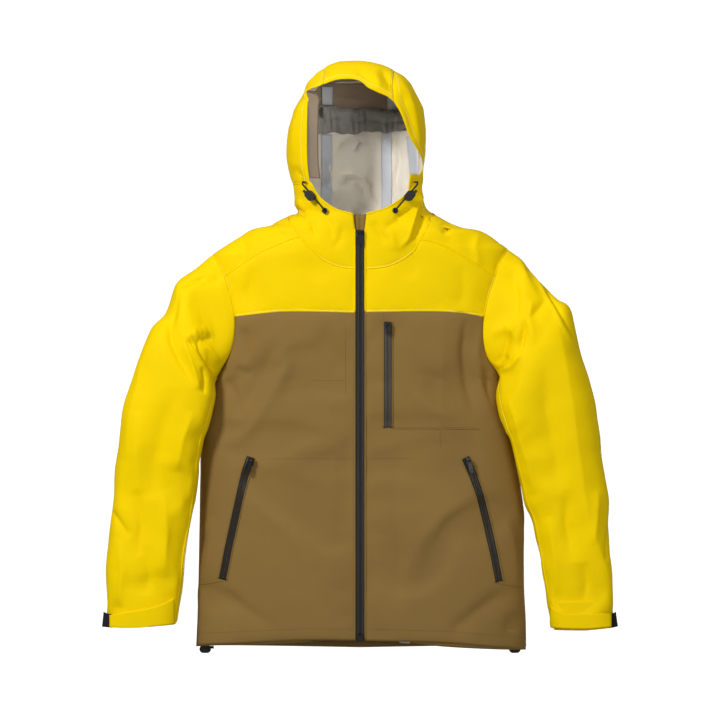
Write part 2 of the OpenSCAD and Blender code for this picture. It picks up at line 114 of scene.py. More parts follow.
def curve(key, table):
    """A smooth curve through (key, value) pairs, level beyond its ends."""
    x, y = np.array(table, float).T
    k = np.clip(key, x[0], x[-1])
    i = np.clip(np.searchsorted(x, k, side="right") - 1, 0, len(x) - 2)
    n = np.arange(len(x))
    lo, hi = np.maximum(n - 1, 0), np.minimum(n + 1, len(x) - 1)
    slope = (y[hi] - y[lo]) / (x[hi] - x[lo])
    h = x[i + 1] - x[i]
    s = (k - x[i]) / h
    return (
        (2 * s**3 - 3 * s**2 + 1) * y[i]
        + (s**3 - 2 * s**2 + s) * h * slope[i]
        + (3 * s**2 - 2 * s**3) * y[i + 1]
        + (s**3 - s**2) * h * slope[i + 1]
    )


def mix(a, b, s):
    return a + (b - a) * s


def step(x, a, b):
    s = np.clip((np.asarray(x, float) - a) / (b - a), 0, 1)
    return s * s * (3 - 2 * s)


def grid(columns, rows):
    """Shares from 0 to 1, across and up."""
    return np.meshgrid(np.linspace(0, 1, columns), np.linspace(0, 1, rows))


def quads(rows, columns):
    """The faces of a grid of points, row by row."""
    i, j = np.meshgrid(np.arange(columns - 1), np.arange(rows - 1))
    a = (j * columns + i).ravel()
    return np.stack([a, a + 1, a + columns + 1, a + columns], 1)


def run_along(points, axis=0):
    """How far each point lies along its path, or along its row or column of a grid."""
    run = np.cumsum(np.linalg.norm(np.diff(points, axis=axis), axis=-1), axis)
    return np.insert(run, 0, 0, axis)


def along(want, run, values):
    """The rows of values at the wanted lengths along a run."""
    return np.stack([np.interp(want, run, column) for column in np.transpose(values)], -1)


def unit(v):
    return v / np.linalg.norm(v, axis=-1, keepdims=True)


def ripple(p, size, seed):
    """Smooth waves about size across, from -1 to 1, the same each run."""
    rng = np.random.default_rng(seed)
    out = np.zeros(p.shape[:-1])
    for _ in range(7):
        way = rng.normal(size=3)
        way *= 2 * math.pi / size * rng.uniform(0.6, 1.5) / np.linalg.norm(way)
        out += np.sin(p @ way + rng.uniform(0, 6.3))
    return out / 4


# ---- the body's and the hood's one surface -------------------

HOOD_LOW, HOOD_MID, HOOD_TOP = 850, 930.0, 1071.5  # where the hood starts, is widest and ends
YOKE_LOW = 618  # the back yoke's lower seam
FRONT_EDGE, SHOULDER_NECK, SHOULDER_TIP = 8.3, 107.5, 243  # by distance from the middle
FRONT_DEPTH, BACK_DEPTH, HOOD_FRONT = 80.0, 80.0, 95
HOOD_N = 2.2  # how square the hood is over the head: 2 is round

# Half width by height, up to the hood's widest line
WIDE = {
    LEFT: [(0, 301), (60, 300), (123, 297), (226, 296), (256, 296), (310, 290), (360, 283), (410, 274),
           (450, 265), (489, 259), (530, 261), (600, 265), (680, 267), (725, 268), (733, 266), (745, 250),
           (758, 232), (766, 214), (771, 186), (782, 158), (792, 140), (802, 124), (815, 116), (832, 112),
           (850, 113), (879, 116), (905, 118), (930, 119)],
    RIGHT: [(0, 297), (47, 295), (135, 291), (236, 290), (315, 289), (363, 286), (422, 277), (459, 270),
            (489, 263), (530, 262), (600, 264), (680, 266), (716, 267), (723, 265), (738, 244), (755, 216),
            (768, 194), (775, 161), (782, 150), (790, 134), (797, 112), (803, 113), (812, 118), (825, 118),
            (843, 120), (878, 128), (901, 131), (930, 130)],
}
# The hood's outline from its widest line up to the crown: half width and height
CROWN = {
    LEFT: [(930, 119), (950, 118.5), (968, 116), (987, 113), (1011, 101), (1031, 91), (1044, 79), (1055, 62),
           (1064, 39), (1069, 20), (1071.5, 0)],
    RIGHT: [(930, 130), (951, 128), (968, 123.5), (984, 119), (1004, 108), (1034, 94), (1053, 76), (1064, 57),
            (1070, 38), (1071.2, 17), (1071.5, 0)],
}
# By height: the share of the way from the body's depth before to the hood's, what is added to the depth
# behind, and how square the body is
FRONT_D = [(0, 0), (770, 0), (800, 0.07), (830, 0.4), (870, 0.8), (930, 1)]
BACK_D = [(0, -8), (300, -10), (500, -6), (620, 0), (700, -4), (745, -14), (775, -16), (800, -6), (830, 14),
          (880, 38), (930, 45)]
SQUARE = [(0, 2.6), (700, 2.6), (760, 2.4), (830, 2.2), (930, 2.2)]
# The armhole's edge by height
ARMHOLE = {
    LEFT: [(489, 259), (500, 253), (515, 244), (531, 232), (551, 224), (578, 220), (612, 223), (649, 231),
           (683, 243), (704, 249), (725, 261), (733, 266)],
    RIGHT: [(489, 263), (500, 258), (518, 248), (535, 238), (553, 231), (577, 226), (612, 225), (636, 229),
            (660, 236), (683, 243), (705, 254), (723, 265)],
}
ARM_LOW = 489
ARM_HIGH = {LEFT: 733, RIGHT: 723}
# The seam under the yoke, and the front hem, by distance from the middle
YOKE = {LEFT: [(0, 619), (7, 619), (144, 620), (197, 615), (223, 611)],
        RIGHT: [(0, 618), (8, 618), (133, 620), (180, 616), (226, 611)]}
HEM = {LEFT: [(0, 28.5), (7, 28), (82, 24), (145, 17), (221, 12), (301, 8)],
       RIGHT: [(0, 29), (45, 29), (148, 22), (268, 17), (297, 14)]}
# The front yoke's upper edge: neckline, then shoulder seam
YOKE_TOP = {
    LEFT: [(8, 695), (30, 696), (52, 700), (71, 708), (88, 719), (99, 730), (107, 749), (125, 746), (151, 738),
           (200, 710), (243, 683)],
    RIGHT: [(8, 695), (42, 700), (60, 709), (80, 722), (95, 739), (107, 754), (125, 749), (150, 738), (176, 727),
            (204, 710), (243, 683)],
}
# The top of the shoulder seen from the front: distance from the middle and height
RIDGE = {
    LEFT: [(0, 791), (125, 799), (158, 782), (184, 771), (221, 766), (245, 750), (266, 733)],
    RIGHT: [(0, 791), (122, 795), (150, 782), (161, 775), (187, 771), (216, 755), (244, 738), (265, 723)],
}
# The shoulder's edge against the collar, by height
NECK = {LEFT: [(747, 106.5), (764, 116), (784, 126), (799, 140)],
        RIGHT: [(753, 106.5), (768, 117), (781, 126), (795, 134)]}
# Columns of the collar: x and height on the neckline, then on its upper edge
COLLAR = {
    LEFT: [(8.2, 695.8, 11, 794), (30, 697, 26, 798), (52, 701, 41, 802), (71, 709, 60, 812),
           (88, 720, 80, 827), (99, 731, 92, 840), (107, 747, 101, 850), (117, 764, 109, 850),
           (127, 784, 112.5, 850)],
    RIGHT: [(8.2, 695.8, 12, 794), (30, 698, 28, 798), (48, 703, 44, 803), (66, 712, 64, 816),
            (80, 723, 78, 831), (95, 739, 89, 850), (107, 753, 101, 850), (118, 768, 113, 850),
            (127, 781, 121, 850)],
}
# Half width of the face opening by height
FACE = {
    LEFT: [(840, 94), (860, 105), (881, 113), (905, 104), (929, 90), (951, 82), (970, 75), (987, 66),
           (1003, 52), (1022, 13)],
    RIGHT: [(840, 87), (850, 90), (875, 93.5), (899, 95), (940, 95.5), (970, 95), (1000, 94.5), (1018, 94),
            (1024, 76), (1034, 48)],
}
# The brim's edge over the crown panel: height by signed x
BRIM = [(-66, 1028), (-42, 1036), (-9, 1036.5), (5, 1031), (13, 1022), (35, 1011), (52, 1003), (66, 988)]
SEAM_X = {LEFT: 60, RIGHT: 66}  # the hood's two long seams
RIDGE_NECK, RIDGE_TIP = 126, 264  # the ridge's ends
FACE_TOP = {LEFT: 1006, RIGHT: 1026}  # where the side panel gives way to the brim


def by_side(sign, value, *args):
    return np.where(sign >= 0, value(LEFT, *args), value(RIGHT, *args))


def half_width(side, z):
    z = np.asarray(z, float)
    heights, widths = np.array(CROWN[side]).T
    return np.where(z > HOOD_MID, np.interp(z, heights, widths), curve(z, WIDE[side]))


def crown_height(side, x):
    heights, widths = np.array(CROWN[side]).T
    return np.interp(np.abs(x), widths[::-1], heights[::-1])


def dome(z):
    return (1 - np.clip((z - HOOD_MID) / (HOOD_TOP - HOOD_MID), 0, 1) ** HOOD_N) ** (1 / HOOD_N)


def front_depth(z):
    return mix(FRONT_DEPTH, HOOD_FRONT, curve(np.minimum(z, HOOD_MID), FRONT_D)) * dome(z)


def back_depth(z):
    return (BACK_DEPTH + curve(np.minimum(z, HOOD_MID), BACK_D)) * dome(z)


def turn(x, z, side):
    """The angle round the body, 0 at the front and 90 at the side seam, where it reaches x."""
    n = curve(z, SQUARE)
    return np.degrees(np.arcsin(np.clip(np.abs(x) / half_width(side, z), 0, 1) ** (n / 2)))


def body(t, z, inset=0):
    """The surface at angle t, to the left above 0 and to the right below or past 180."""
    t, z = np.broadcast_arrays(np.asarray(t, float), np.asarray(z, float))
    s, c = np.sin(np.radians(t)), np.cos(np.radians(t))
    e = 2 / curve(z, SQUARE)
    w = by_side(s, lambda side: half_width(side, z))
    y = np.where(c >= 0, -(front_depth(z) - inset) * np.abs(c) ** e, (back_depth(z) - inset) * np.abs(c) ** e)
    return np.stack([(w - inset) * np.sign(s) * np.abs(s) ** e, y, z], -1)


def on_front(side, x, z, inset=0):
    return body(side * turn(x, z, side), z, inset)


def crown(x, a):
    """The hood's surface over the head at x, from a = 0 at the face to 180 behind."""
    top = by_side(x, lambda side: crown_height(side, x))
    s, c = np.abs(np.sin(np.radians(a))), np.cos(np.radians(a))
    z = HOOD_MID + (top - HOOD_MID) * s ** (2 / HOOD_N)
    w = by_side(x, lambda side: half_width(side, z))
    q = (1 - np.clip(np.abs(x) / w, 0, 1) ** HOOD_N) ** (1 / HOOD_N)
    y = np.where(c >= 0, -front_depth(z) * q, back_depth(z) * q)
    return np.stack([x * np.ones_like(z), y, z], -1)


def brim_angle(x):
    top = by_side(x, lambda side: crown_height(side, x))
    rise = np.clip((curve(x, BRIM) - HOOD_MID) / (top - HOOD_MID), 0, 0.999)
    return np.degrees(np.arcsin(rise ** (HOOD_N / 2)))


# ---- the sleeves ---------------------------------------------

# Rings down the sleeve: outer x and height, inner x and height, half depth, middle y
SLEEVE = {
    LEFT: [(266, 733, 258, 489, 45, 0), (298, 707, 250, 486, 56, -6), (330, 672, 247, 466, 60, -14),
           (358, 643, 250, 444, 61, -22), (381, 619, 254, 424, 60, -28), (396, 548, 261, 404, 58, -32),
           (420, 470, 271, 386, 55, -34), (430, 405, 279, 352, 52, -36), (436, 348, 287, 314, 50, -38),
           (445, 290, 296, 275, 48, -40), (447, 238, 311, 236, 46, -42), (451, 172, 323, 176, 44, -44),
           (455, 118, 334, 118, 42, -46), (457, 81, 341, 75, 41, -47), (461, 52, 347, 47, 40, -48)],
    RIGHT: [(265, 723, 262, 489, 45, 0), (300, 696, 262, 480, 56, -6), (334, 668, 262, 466, 60, -14),
            (354, 618, 264, 450, 61, -20), (380, 585, 268, 430, 60, -25), (402, 523, 274, 408, 58, -29),
            (423, 460, 282, 385, 55, -32), (432, 400, 288, 352, 52, -35), (437, 348, 291, 324, 50, -38),
            (441, 295, 296, 285, 48, -40), (445, 245, 303, 243, 46, -42), (454, 176, 313, 172, 44, -44),
            (456, 125, 319, 127, 42, -46), (458, 82, 325, 88, 41, -47), (461, 52, 329, 58, 40, -48)],
}
# How far forward the sleeve's inner edge lies of its middle, by ring
LEAN = [(0, 0), (1, 20), (3, 24), (5, 22), (7, 16), (9, 6), (11, 0), (14, 0)]
LAST_RING = 14
SLEEVE_N = 2.7  # how square the sleeve is
UNDER_HALF = 24  # degrees each way from the inner edge that the under panel takes


def sleeve_row(side, k):
    """The six columns of the sleeve's table at ring k, between rings too."""
    return [curve(k, [(i, r[c]) for i, r in enumerate(SLEEVE[side])]) for c in range(6)]


def ring(side, k, a, out=0):
    """The sleeve's surface at ring k and angle a: 0 outer, 90 front, 180 inner, 270 back."""
    v = sleeve_row(side, k)
    hx, hz = (v[0] - v[2]) / 2, (v[1] - v[3]) / 2
    c, s, e = np.cos(np.radians(a)), np.sin(np.radians(a)), 2 / SLEEVE_N
    cc, ss = np.sign(c) * np.abs(c) ** e, np.sign(s) * np.abs(s) ** e
    r = (1 + out / np.hypot(hx, hz)) * cc
    x = (v[0] + v[2]) / 2 + hx * r
    droop = 2.5 * step(k, 12.5, 14) * ss * (1 - np.abs(cc))  # the cuff's mouth hangs lower in front
    y = v[5] - (v[4] + out) * ss - curve(k, LEAN) * (1 - cc) / 2
    return np.stack([side * x, y * np.ones_like(x), (v[1] + v[3]) / 2 + hz * r - droop], -1)


def armhole_ring(side, a):
    z = mix(ARM_LOW, ARM_HIGH[side], (1 + np.cos(np.radians(a))) / 2)
    x = curve(z, ARMHOLE[side])
    t = turn(x, z, side)
    s = np.sin(np.radians(a))
    return np.where((s >= 0)[..., None], body(side * t, z), body(side * (180 - t), z))


def arm(side, k, a, out=0):
    """The whole sleeve, joined smoothly to the armhole at k = 0."""
    k, a = np.broadcast_arrays(np.asarray(k, float), np.asarray(a, float))
    low = step(k, 0, 1.0)[..., None]
    start = armhole_ring(side, a)
    straight = mix(start, ring(side, np.maximum(k, 1), a, out), np.minimum(k, 1)[..., None])
    return mix(straight, ring(side, np.maximum(k, 0.01), a, out), np.where(k[..., None] >= 1, 1, low * 0.6))


# ---- folds ---------------------------------------------------

# Each fold is a path of (x, height) seen from the front, its rise outward, its width on the left and on
# the right of the path, and how round its crest is (1 a crease, 2 round). All folds are then made higher,
# narrower and crisper by the factors below the tables.
TORSO_FOLDS = [
    ([(150, 640), (149, 560), (146, 470), (140, 380)], 2.6, 55, 50, 1),
    ([(-134, 690), (-133, 610), (-136, 500), (-150, 400)], 1.6, 50, 60, 1),
    ([(-150, 566), (-166, 525), (-196, 468), (-226, 425)], -3.6, 13, 22, 2),
    ([(-120, 540), (-150, 480), (-190, 415), (-228, 372)], 2.4, 18, 16, 2),
    ([(-208, 590), (-203, 560), (-207, 525)], -2.6, 7, 9, 1.6),
    ([(-222, 520), (-205, 508), (-190, 512)], -2.0, 6, 8, 1.5),
    ([(-236, 500), (-222, 470), (-214, 430)], -2.4, 6, 10, 1.6),
    ([(190, 608), (184, 550), (190, 490), (204, 430)], -4.0, 14, 10, 2),
    ([(216, 596), (211, 540), (218, 480), (236, 425)], 3.2, 9, 12, 1.8),
    ([(232, 520), (226, 490), (233, 452)], -2.6, 6, 7, 1.6),
    ([(92, 470), (130, 440), (170, 424)], 1.6, 18, 14, 2),
    ([(214, 300), (160, 262), (110, 210), (80, 140)], 2.0, 26, 22, 2),
    ([(-212, 300), (-170, 262), (-120, 215), (-80, 150)], 1.8, 24, 24, 2),
    ([(-60, 480), (-44, 360), (-52, 240), (-40, 120)], 1.6, 26, 30, 2),
    ([(70, 380), (60, 280), (74, 180), (64, 80)], -1.8, 20, 26, 2),
    ([(262, 250), (276, 190), (284, 120)], 2.2, 12, 10, 1.5),
    ([(-262, 250), (-272, 190), (-280, 120)], 2.2, 10, 12, 1.5),
    ([(-250, 118), (-200, 84), (-150, 50)], -1.8, 12, 20, 2),
    ([(254, 112), (205, 80), (160, 44)], -1.8, 20, 12, 2),
    ([(180, 700), (186, 660), (180, 625)], -1.6, 12, 16, 2),
    ([(-190, 700), (-200, 655), (-196, 622)], -1.6, 14, 12, 2),
    ([(163, 784), (158, 771), (150, 757)], -6, 4, 9, 1.3),
    ([(-160, 776), (-150, 764), (-134, 752)], -3, 6, 9, 1.5),
    ([(-214, 755), (-206, 732), (-214, 700)], -2.4, 8, 12, 1.8),
    ([(214, 762), (206, 735), (214, 700)], 2.2, 12, 8, 1.8),
]
SLEEVE_FOLDS = {
    RIGHT: [
        ([(-326, 664), (-310, 671), (-276, 681)], -6, 5, 7, 1.3),
        ([(-322, 668), (-334, 628), (-344, 594), (-342, 567), (-331, 542), (-317, 517), (-298, 484)],
         -9, 22, 9, 1.7),
        ([(-319, 564), (-300, 577), (-282, 582), (-262, 584)], 7, 7, 9, 1.3),
        ([(-314, 559), (-292, 569), (-266, 574)], -11, 7, 6, 1.4),
        ([(-319, 566), (-305, 532), (-293, 494), (-290, 478)], 8, 9, 9, 1.3),
        ([(-293, 566), (-287, 547), (-274, 529), (-259, 510)], -15, 5, 5, 1.3),
        ([(-280, 560), (-266, 545), (-252, 528)], 5, 6, 6, 1.4),
        ([(-284, 520), (-279, 500), (-281, 470)], -7, 5, 5, 1.4),
        ([(-355, 618), (-375, 570), (-393, 518), (-402, 470), (-413, 420), (-420, 350)], 5, 26, 30, 1),
        ([(-330, 480), (-350, 420), (-368, 350), (-372, 280)], -4, 18, 24, 2),
        ([(-300, 440), (-318, 390), (-330, 330)], 3.5, 12, 14, 1.6),
        ([(-398, 440), (-400, 360), (-396, 290)], 3, 18, 20, 2),
        ([(-444, 262), (-430, 240), (-412, 214)], -4, 6, 7, 1.3),
        ([(-404, 300), (-392, 240), (-396, 180)], -4, 14, 12, 1.8),
        ([(-352, 300), (-346, 220), (-352, 140)], 4, 14, 16, 1.6),
        ([(-430, 210), (-424, 150), (-432, 90)], 3.5, 12, 12, 1.6),
        ([(-382, 200), (-376, 150), (-384, 110)], -3.5, 12, 14, 1.8),
        ([(-236, 700), (-262, 672), (-286, 668)], -2.5, 10, 14, 2),
    ],
    LEFT: [
        ([(309, 697), (325, 668), (340, 642), (362, 593), (388, 553)], 8, 26, 5, 1.2),
        ([(318, 694), (336, 664), (350, 634), (372, 594), (392, 560)], -7, 5, 13, 1.5),
        ([(351, 614), (366, 540), (378, 455), (391, 355), (406, 251), (438, 161), (457, 84)], 4, 34, 30, 1),
        ([(238, 572), (250, 585), (266, 590), (281, 579), (284, 562)], 7, 7, 8, 1.4),
        ([(269, 584), (261, 560), (254, 539), (243, 524)], -14, 5, 6, 1.3),
        ([(298, 602), (291, 567), (285, 540)], -12, 5, 9, 1.3),
        ([(300, 600), (320, 622), (338, 640)], -4, 9, 14, 1.8),
        ([(288, 540), (273, 519), (254, 512)], 7, 6, 8, 1.3),
        ([(262, 540), (252, 524), (250, 505)], -6, 5, 5, 1.4),
        ([(272, 690), (284, 640), (281, 600)], -3, 10, 14, 2),
        ([(310, 640), (306, 600), (312, 560)], 3.5, 12, 10, 1.8),
        ([(262, 470), (280, 420), (300, 350), (312, 290)], 4, 12, 14, 1.5),
        ([(330, 520), (336, 440), (350, 360), (356, 290)], -4, 20, 20, 2),
        ([(447, 238), (443, 205), (438, 172)], -4, 6, 6, 1.3),
        ([(372, 300), (366, 240), (380, 170)], -4, 14, 12, 1.8),
        ([(336, 250), (348, 180), (356, 110)], 3.5, 12, 14, 1.6),
        ([(424, 300), (420, 240), (416, 200)], 3, 10, 12, 1.8),
        ([(398, 170), (404, 130), (400, 96)], -3, 10, 12, 1.8),
    ],
}
HOOD_FOLDS = [
    ([(116, 856), (108, 822), (101, 797), (88, 750), (67, 727)], 9, 5, 20, 1.3),
    ([(124, 826), (114, 796), (103, 762), (92, 742)], -8, 12, 7, 1.5),
    ([(-120, 810), (-104, 798), (-88, 777), (-76, 752)], -8, 6, 5, 1.3),
    ([(-112, 826), (-99, 800), (-86, 766)], 5, 6, 7, 1.4),
    ([(-66, 796), (-52, 772), (-48, 748)], -2.5, 7, 9, 1.6),
    ([(62, 784), (77, 795), (93, 806)], -4.5, 5, 5, 1.4),
    ([(46, 772), (64, 779), (82, 790)], -3.5, 5, 6, 1.4),
    ([(24, 782), (33, 760), (50, 742)], -3, 6, 8, 1.6),
    ([(52, 768), (60, 748), (64, 728)], 3.5, 6, 7, 1.5),
    ([(-30, 776), (-34, 752), (-46, 730)], -2, 8, 9, 1.8),
    ([(38, 1056), (48, 1042), (57, 1026), (54, 1008)], -5, 6, 9, 1.4),
    ([(22, 1050), (32, 1034), (36, 1018)], 3.5, 8, 7, 1.6),
    ([(-8, 1052), (8, 1044), (20, 1030)], -2.5, 8, 8, 1.8),
    ([(64, 1050), (84, 1014), (96, 976), (104, 930), (110, 880)], 4, 12, 20, 1),
    ([(72, 1010), (88, 968), (98, 930)], -3, 8, 8, 1.8),
    ([(-90, 1030), (-108, 990), (-118, 950), (-122, 900)], 2.5, 14, 18, 1.2),
    ([(-112, 1004), (-98, 1000), (-84, 1010)], -3, 6, 6, 1.5),
    ([(-60, 1058), (-72, 1044), (-86, 1034)], -2.5, 8, 8, 1.6),
    ([(-118, 880), (-108, 862), (-104, 840)], -3, 7, 8, 1.6),
    ([(116, 870), (108, 852), (100, 838)], -3.5, 6, 7, 1.4),
]
# Folds of the hood's far side, seen through the face opening; outward is away from the eye
BACK_FOLDS = [
    ([(-40, 871), (-14, 874), (7, 865), (18, 851), (22, 832), (38, 806)], 12, 7, 13, 1.5),
    ([(-30, 860), (-8, 860), (6, 848), (10, 828)], -8, 9, 9, 1.7),
    ([(-50, 905), (-36, 932), (-12, 947), (14, 950)], 9, 8, 12, 1.5),
    ([(-12, 914), (-4, 930), (-16, 944)], 6, 5, 6, 1.5),
    ([(-28, 800), (-4, 812), (34, 805)], 8, 8, 10, 1.6),
    ([(-84, 880), (-64, 846), (-40, 818)], 12, 12, 16, 1.8),
    ([(-60, 900), (-52, 870), (-58, 840)], -6, 8, 10, 1.8),
    ([(66, 940), (74, 900), (66, 860), (74, 830)], 8, 8, 10, 1.7),
    ([(88, 930), (92, 880), (86, 840)], 6, 6, 8, 1.6),
]


FOLD_GAIN, DEEPEST_FOLD = 1.5, 9.0  # how much higher, and the most
FOLD_TIGHT, NARROWEST_FOLD = 0.74, 4.5  # how much narrower, and the least
CRISP = 0.4  # taken off how round the crest is


def fold_height(p, folds):
    x, z = p[..., 0], p[..., 2]
    out = np.zeros(x.shape)
    for path, height, left, right, sharp in folds:
        path = np.array(path, float)
        lengths = np.linalg.norm(np.diff(path, axis=0), axis=1)
        near, along, side = np.full(x.shape, 1e9), np.zeros(x.shape), np.ones(x.shape)
        done = 0.0
        for a, b, length in zip(path[:-1], path[1:], lengths):
            d = b - a
            k = np.clip(((x - a[0]) * d[0] + (z - a[1]) * d[1]) / length**2, 0, 1)
            dx, dz = x - a[0] - k * d[0], z - a[1] - k * d[1]
            dist = np.hypot(dx, dz)
            closer = dist < near
            near = np.where(closer, dist, near)
            along = np.where(closer, (done + k * length) / lengths.sum(), along)
            side = np.where(closer, d[0] * dz - d[1] * dx, side)
            done += length
        width = np.maximum(np.where(side > 0, left, right) * FOLD_TIGHT, NARROWEST_FOLD)
        fade = 1 - np.abs(2 * along - 1) ** 3
        crest = np.clip(FOLD_GAIN * height, -DEEPEST_FOLD, DEEPEST_FOLD)
        out += crest * fade * np.exp(-((near / width) ** max(1, sharp - CRISP)))
    return out


# ---- panels --------------------------------------------------


class Panel:
    """A sheet whose outer face runs through a grid of points, rows upward and columns to the left."""

    def __init__(self, points, flip=False, closed=False):
        self.p, self.closed = points, closed
        self.out = -1.0 if flip else 1.0
        self.flat_normals = self.normals()

    def normals(self):
        p = self.p
        du, dv = np.empty_like(p), np.empty_like(p)
        du[:, 1:-1] = p[:, 2:] - p[:, :-2]
        du[:, 0], du[:, -1] = p[:, 1] - p[:, 0], p[:, -1] - p[:, -2]
        if self.closed:
            du[:, 0] = du[:, -1] = p[:, 1] - p[:, -2]
        dv[1:-1] = p[2:] - p[:-2]
        dv[0], dv[-1] = p[1] - p[0], p[-1] - p[-2]
        n = np.cross(du, dv) * self.out
        return n / np.maximum(np.linalg.norm(n, axis=-1, keepdims=True), 1e-9)

    def push(self, height):
        self.p = self.p + self.flat_normals * np.asarray(height)[..., None]

    def lengths(self):
        across = np.linalg.norm(np.diff(self.p, axis=1), axis=-1).sum(1).mean()
        up = np.linalg.norm(np.diff(self.p, axis=0), axis=-1).sum(0).mean()
        return across, up

    def area(self):
        p = self.p
        a, b = p[1:, 1:] - p[:-1, :-1], p[1:, :-1] - p[:-1, 1:]
        return np.linalg.norm(np.cross(a, b), axis=-1).sum() / 2

    def at(self, u, v):
        """Points and outward normals at shares u across and v up."""
        p, n = self.p, self.normals()
        u, v = np.broadcast_arrays(np.asarray(u, float), np.asarray(v, float))
        i = np.clip(u, 0, 1) * (p.shape[1] - 1)
        j = np.clip(v, 0, 1) * (p.shape[0] - 1)
        i0, j0 = np.minimum(i.astype(int), p.shape[1] - 2), np.minimum(j.astype(int), p.shape[0] - 2)
        fi, fj = (i - i0)[..., None], (j - j0)[..., None]

        def blend4(g):
            return mix(mix(g[j0, i0], g[j0, i0 + 1], fi), mix(g[j0 + 1, i0], g[j0 + 1, i0 + 1], fi), fj)

        m = blend4(n)
        return blend4(p), m / np.maximum(np.linalg.norm(m, axis=-1, keepdims=True), 1e-9)


def spread(fn, columns, rows, finer=4, even=True):
    """fn(u, v) on a grid, with each row's points made even along it."""
    u, v = grid(columns * finer + 1, rows + 1)
    p = fn(u, v)
    if not even:
        return p[:, ::finer]
    out = np.empty((rows + 1, columns + 1, 3))
    for j, row in enumerate(p):
        s = run_along(row)
        out[j] = along(np.linspace(0, s[-1], columns + 1), s, row)
    return out


def front_weight(panel):
    return step(-panel.normals()[..., 1], 0.0, 0.45)


def back_weight(panel):
    return step(panel.normals()[..., 1], 0.1, 0.5)


def front_folds(panel, *tables):
    return front_weight(panel) * sum(fold_height(panel.p, table) for table in tables)


def yoke_seam(side, u):
    return curve(8 + u * 216, YOKE[side])


def edge_turn(side, z):
    return np.where(z <= ARM_LOW, 90.0, turn(curve(z, ARMHOLE[side]), z, side))


def front_panel(side):
    def at(u, v):
        z = mix(curve(u * 298, HEM[side]), yoke_seam(side, u), v)
        return body(side * mix(turn(FRONT_EDGE, z, side), edge_turn(side, z), u), z)

    p = Panel(spread(at, 62, 124), side < 0)
    loose = 0.9 * ripple(p.p, 150, 3) * step(p.p[..., 0] * side, 8, 50)
    p.push(front_folds(p, TORSO_FOLDS) + loose)
    return p


def front_yoke(side):
    def at(u, v):
        reach = mix(FRONT_EDGE, SHOULDER_TIP, u)
        z = mix(yoke_seam(side, u), np.interp(reach, *np.array(YOKE_TOP[side]).T), v)
        x = mix(FRONT_EDGE, curve(np.minimum(z, 683), ARMHOLE[side]), u)
        return on_front(side, x, z)

    p = Panel(spread(at, 56, 30), side < 0)
    p.push(front_folds(p, TORSO_FOLDS, HOOD_FOLDS))
    return p


def shoulder(side):
    """A patch between the shoulder seam, the ridge, the neckline and the armhole, in angle and height."""
    ridge_x, ridge_z = np.array(RIDGE[side], float).T
    low_x, low_z = np.array(YOKE_TOP[side], float).T
    tip = ARMHOLE[side][-1][1]

    def low(u):
        x = mix(SHOULDER_NECK, SHOULDER_TIP, u)
        z = np.interp(x, low_x, low_z)
        return np.stack([turn(np.minimum(x, curve(z, ARMHOLE[side])), z, side), z], -1)

    def high(u):
        return np.stack([np.full_like(u, 90), np.interp(mix(RIDGE_NECK, tip, u), ridge_x, ridge_z)], -1)

    def rising(edge, end, v):
        z = mix(low(end)[..., 1], high(end)[..., 1], v)
        return np.stack([turn(curve(z, edge[side]), z, side), z], -1)

    def at(u, v):
        zero, one = np.zeros_like(u), np.ones_like(u)
        us, vs = u[..., None], v[..., None]
        across = mix(low(u), high(u), vs)
        up = mix(rising(NECK, zero, v), rising(ARMHOLE, one, v), us)
        corners = mix(mix(low(zero), low(one), us), mix(high(zero), high(one), us), vs)
        t, z = np.moveaxis(across + up - corners, -1, 0)
        return body(side * np.clip(t, 0, 90), z)

    p = Panel(spread(at, 44, 26), side < 0)
    p.push(front_folds(p, TORSO_FOLDS, HOOD_FOLDS))
    return p


def hem_reach(t):
    """The share of the hem's half width at angle t."""
    return np.abs(np.sin(np.radians(t))) ** 0.77


def back_hem(t):
    return 8 + 6 * hem_reach(t)


def back_panel():
    def at(u, v):
        way = 2 * u - 1
        z = mix(back_hem(180 + 90 * way), YOKE_LOW, v)
        edge = np.where(way < 0, edge_turn(LEFT, z), edge_turn(RIGHT, z))
        return body(180 + way * edge, z)

    p = Panel(spread(at, 84, 76))
    p.push(2.2 * ripple(p.p, 210, 11) * np.sin(np.pi * np.linspace(0, 1, 85)) ** 0.6)
    return p


def back_yoke():
    def at(u, v):
        way = 1 - 2 * u
        x0 = np.abs(way) * RIDGE_TIP
        top = by_side(way, lambda side: np.interp(x0, *np.array(RIDGE[side]).T))
        z = mix(YOKE_LOW, top, 1 - (1 - v) ** 1.6)

        def turned(side):
            x = np.abs(way) * curve(np.minimum(z, ARM_HIGH[side]), ARMHOLE[side])
            return np.minimum(89.6, turn(x, z, side))

        return body(180 - np.sign(way) * by_side(way, turned), z)

    p = Panel(spread(at, 84, 32))
    p.push(1.6 * ripple(p.p, 180, 12) * np.sin(np.pi * np.linspace(0, 1, 85)) ** 0.6)
    return p


COLLAR_EDGE = 8.2  # the least distance from the middle


def collar(side):
    cols = np.array(COLLAR[side], float)
    k = np.linspace(0, 1, len(cols))

    def at(u, v):
        z0, z1 = curve(u, list(zip(k, cols[:, 1]))), curve(u, list(zip(k, cols[:, 3])))
        x0, x1 = curve(u, list(zip(k, cols[:, 0]))), curve(u, list(zip(k, cols[:, 2])))
        z = mix(z0, z1, v)
        # The front edge stays beside the zip and turns out above its top
        x = mix(x0, x1, v) - np.where(u < 0.02, 2.6 * (1 - step(z, 755, 794)), 0)
        x = np.maximum(x, COLLAR_EDGE)
        return body(side * np.minimum(89.5, turn(x, z, side)), z)

    p = Panel(spread(at, 40, 32, even=False), side < 0)
    p.push(front_folds(p, HOOD_FOLDS))
    return p


OUTSIDE_SHARE = 0.25  # of the inside's folds that shows on the hood's back


